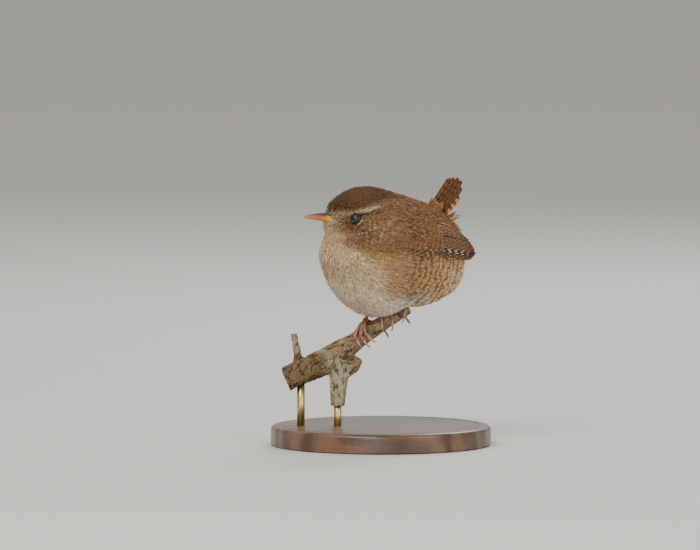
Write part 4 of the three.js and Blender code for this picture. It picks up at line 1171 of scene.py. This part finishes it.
def finePerch():  # points, normals and faces of the solid after a remesh, in millimetres
    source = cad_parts["perch"]
    bm = bmesh.new()
    bm.from_mesh(source.data)
    bmesh.ops.transform(bm, matrix=source.matrix_world, verts=bm.verts)
    bmesh.ops.remove_doubles(bm, verts=bm.verts, dist=1e-6)
    bmesh.ops.scale(bm, vec=(1000, 1000, 1000), verts=bm.verts)
    bmesh.ops.recalc_face_normals(bm, faces=bm.faces)
    rough = shown(bpy.data.objects.new("perch_rough", bpy.data.meshes.new("perch_rough")))
    bm.to_mesh(rough.data)
    bm.free()
    remesh = rough.modifiers.new("voxels", "REMESH")
    remesh.mode, remesh.voxel_size = "VOXEL", perchLook["voxel"]
    soft = rough.modifiers.new("soft", "SMOOTH")
    soft.factor, soft.iterations = 0.6, perchLook["smooth"]
    evaluated = rough.evaluated_get(bpy.context.evaluated_depsgraph_get())
    fine = evaluated.to_mesh()
    fine.calc_loop_triangles()
    points, normals = (np.empty(len(fine.vertices) * 3) for _ in range(2))
    fine.vertices.foreach_get("co", points)
    fine.vertices.foreach_get("normal", normals)
    faces = np.empty(len(fine.loop_triangles) * 3, dtype=np.int32)
    fine.loop_triangles.foreach_get("vertices", faces)
    evaluated.to_mesh_clear()
    bpy.data.objects.remove(rough)
    return points.reshape(-1, 3), normals.reshape(-1, 3), faces.reshape(-1, 3)


def makePerch():
    points, normals, faces = finePerch()
    cracks, warts = np.empty(len(points)), np.empty(len(points))
    for i, (x, y, z) in enumerate(points):
        lower = x < -13 and z < 35  # cracks run along the prong there, and along the branch elsewhere
        along = Vector((x, y, z * 0.4)) if lower else Vector((x * 0.35 + z * 0.2, y, z * 0.87 - x * 0.5))
        cracks[i] = abs(noise.fractal(along * perchLook["scale"], 1.0, 2.1, 3))
        warts[i] = noise.fractal(Vector((x, y, z)) * 0.5, 0.8, 2.2, 3)
    calm = mix(1.0, 0.3, ramp(-14, -8, points[:, 0]))
    crack = np.exp(-cracks / perchLook["crack"])
    relief = 0.5 * crack + 0.35 * np.clip(warts * 0.6 + 0.3, 0, 1)
    depth = (perchLook["skin"] + perchLook["deep"] * relief) * calm - perchLook["skin"]
    points = (points - normals * depth[:, None]) * mm
    piece = meshPiece("perch_bark", points, faces, barkShade(), numbers={"crack": crack})
    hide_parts("perch")
    print("perch", len(faces), "faces")


def barkShade():
    shade = Shade("mossy twig bark", roughness=0.88, Specular_IOR_Level=0.2)
    co = shade.objectSpace()
    x, _, z = shade.axes(co)
    fine = shade.noise(co, 1.6, 5, 0.65)
    broad = shade.noise(co, 0.16)
    patch = shade.noise(co, 0.32, 4)
    stops = [(0.3, (0.05, 0.034, 0.02)), (0.44, (0.17, 0.12, 0.066)), (0.56, (0.35, 0.26, 0.155)),
             (0.7, (0.52, 0.4, 0.26))]
    colour = shade.add("ShaderNodeValToRGB", {"stops": stops}, [fine * 0.55 + patch * 0.45])
    branch = shade.softStep(x * -1, 20, 25)
    stub = shade.softStep(z, 36, 39) * branch
    trunk = shade.softStep(x * -1, 11, 14) * (1 - branch) * (1 - shade.softStep(z, 33, 37))
    pale = shade.blend(fine, (0.3, 0.28, 0.18), (0.68, 0.62, 0.47))
    colour = shade.blend(trunk * 0.45 + stub * 0.5, colour, pale)
    rust = shade.softStep(broad + patch * 0.3 - 0.17, 0.46, 0.58) * (1 - trunk * 0.7) * (1 - stub)
    colour = shade.blend(rust * 0.42, colour, shade.blend(fine, (0.085, 0.04, 0.018), (0.36, 0.17, 0.07)))
    moss = shade.softStep(shade.noise(co, 0.5, 4, 0.7), 0.56, 0.68)
    colour = shade.blend(moss * 0.5, colour, (0.13, 0.14, 0.05))
    # Darker in the cracks: partly the bark's own dark fissures, partly painted shade in the recesses
    crack = shade.softStep(shade.attribute("crack", "Fac"), 0.25, 0.8)
    colour = shade.blend(crack * 0.8, colour, (0.02, 0.014, 0.009))
    browner = shade.blend(1.0, colour, (0.62, 0.55, 0.48), "MULTIPLY")
    shade.feed(Base_Color=shade.blend(branch * (1 - stub * 0.6), colour, browner))
    shade.bump(fine, 1.0, 0.0008)
    return shade.material


makePerch()


# Display stand
stand = {"radius": 45, "thick": 8, "edge": 1.6, "foot": 0.6, "rod": 1.6, "sunk": 3, "sides": 160,
         "groove": ((4.2, 0), (4.5, 0.25), (4.9, 0.25), (5.2, 0)),
         "rods": {"fork": (-17.7, -0.4, 15.5), "branch": (-32.7, 0.5, 24.2)}}


def woodShade():
    wood = Shade("dark turned wood", roughness=0.34, Coat_Weight=0.3, Coat_Roughness=0.2)
    co = wood.objectSpace()
    _, y, _ = wood.axes(co)
    drift = wood.noise(co, 0.03, 4, 0.5, (0.4, 2.2, 1.0))
    rings = ((y + drift * 26) * 0.62).math("SINE")
    pores = wood.noise(co, 0.9, 4, 0.6, (0.12, 2.0, 2.0))
    grain = wood.softStep(rings * 0.3 + pores * 0.9, 0.1, 0.9)
    wood.feed(Base_Color=wood.blend(grain, (0.05, 0.022, 0.011), (0.15, 0.07, 0.032)),
              Roughness=0.28 + pores * 0.2)
    wood.bump(pores, 0.25, 0.0001)
    return wood.material


def makeStand():
    radius, thick, edge = stand["radius"], stand["thick"], stand["edge"]
    profile = [(1e-3, 0), (radius - stand["foot"], 0), (radius, stand["foot"])]
    for a in np.linspace(0, math.pi / 2, 10):
        profile.append((radius - edge + edge * math.cos(a), thick - edge + edge * math.sin(a)))
    profile += [(radius - inwards, thick - deep) for inwards, deep in stand["groove"]] + [(1e-3, thick)]
    angle = np.linspace(0, 2 * math.pi, stand["sides"], endpoint=False)
    rings = [[(r * math.cos(a), r * math.sin(a), z) for a in angle] for r, z in profile]
    points, faces = loft(np.array(rings))
    piece = meshPiece("turned_base", points * mm, faces, woodShade(), smooth=False)
    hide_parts("stand_base")
    brass = Shade("satin brass", roughness=0.28, Metallic=1.0)
    streak = brass.noise(brass.objectSpace(), 2.0, 3, 0.6, (1.0, 1.0, 0.06))
    brass.feed(Base_Color=brass.blend(streak, (0.5, 0.33, 0.12), (0.66, 0.47, 0.2)),
               Roughness=0.2 + streak * 0.22)
    for name, (x, y, z) in stand["rods"].items():
        low, high = thick - stand["sunk"], z + stand["sunk"]
        bm = bmesh.new()
        bmesh.ops.create_cone(bm, cap_ends=True, segments=48, radius1=stand["rod"] * mm,
                              radius2=stand["rod"] * mm, depth=(high - low) * mm)
        bmesh.ops.translate(bm, vec=Vector((x, y, (low + high) / 2)) * mm, verts=bm.verts)
        piece = bmeshPiece(f"brass_rod_{name}", bm, brass.material)
        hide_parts(f"stand_rod_{name}")


makeStand()
print("perch and stand made")


# Stage, camera and lights
photoView = {"target": (-12.65, 0, 69.5), "elevation": 4, "away": 3000, "frameWidth": 285.7, "sensor": 36}
studio = {
    "floor": (0.6, 0.585, 0.56, 1), "floorSize": 9, "aim": (0, 0, 0.07),
    "sky": (1.0, 0.98, 0.95, 1), "skyPower": 0.62,
    "lamps": {"key": ((-0.5, -0.95, 1.1), 0.8, 16, (1.0, 0.975, 0.94)),
              "fill": ((0.95, -0.9, 0.4), 0.9, 6.5, (1.0, 0.98, 0.96)),
              "low": ((-0.2, -1.3, 0.06), 0.5, 7.5, (1.0, 0.98, 0.95)),
              "rim": ((0.35, 0.9, 0.9), 0.6, 8, (1.0, 1.0, 1.0))},
}


def makeCamera():
    camera = shown(bpy.data.objects.new("camera", bpy.data.cameras.new("camera")))
    up = math.radians(photoView["elevation"])
    back = Vector((0, -math.cos(up), math.sin(up)))
    camera.location = (Vector(photoView["target"]) + back * photoView["away"]) * mm
    camera.rotation_euler = (-back).to_track_quat("-Z", "Y").to_euler()
    camera.data.sensor_width = photoView["sensor"]
    camera.data.lens = photoView["sensor"] * photoView["away"] / photoView["frameWidth"]
    camera.data.clip_start, camera.data.clip_end = 0.1, 50
    bpy.context.scene.camera = camera


def makeStage():
    shade = Shade("pale studio floor", roughness=0.9, Base_Color=studio["floor"])
    bm = bmesh.new()
    bmesh.ops.create_grid(bm, x_segments=8, y_segments=8, size=studio["floorSize"])
    floor = shown(bpy.data.objects.new("studio_floor", bpy.data.meshes.new("studio_floor")))
    bm.to_mesh(floor.data)
    bm.free()
    floor.data.materials.append(shade.material)


def makeLights():
    for name, (at, size, power, colour) in studio["lamps"].items():
        lamp = bpy.data.lights.new(name, "AREA")
        lamp.size, lamp.energy, lamp.color = size, power, colour
        holder = shown(bpy.data.objects.new(name, lamp))
        holder.location = at
        holder.rotation_euler = (Vector(studio["aim"]) - Vector(at)).to_track_quat("-Z", "Y").to_euler()
    world = bpy.data.worlds.new("studio")
    world.use_nodes = True
    background = world.node_tree.nodes["Background"].inputs
    background["Color"].default_value = studio["sky"]
    background["Strength"].default_value = studio["skyPower"]
    bpy.context.scene.world = world


makeCamera()
makeStage()
makeLights()
print("stage set")
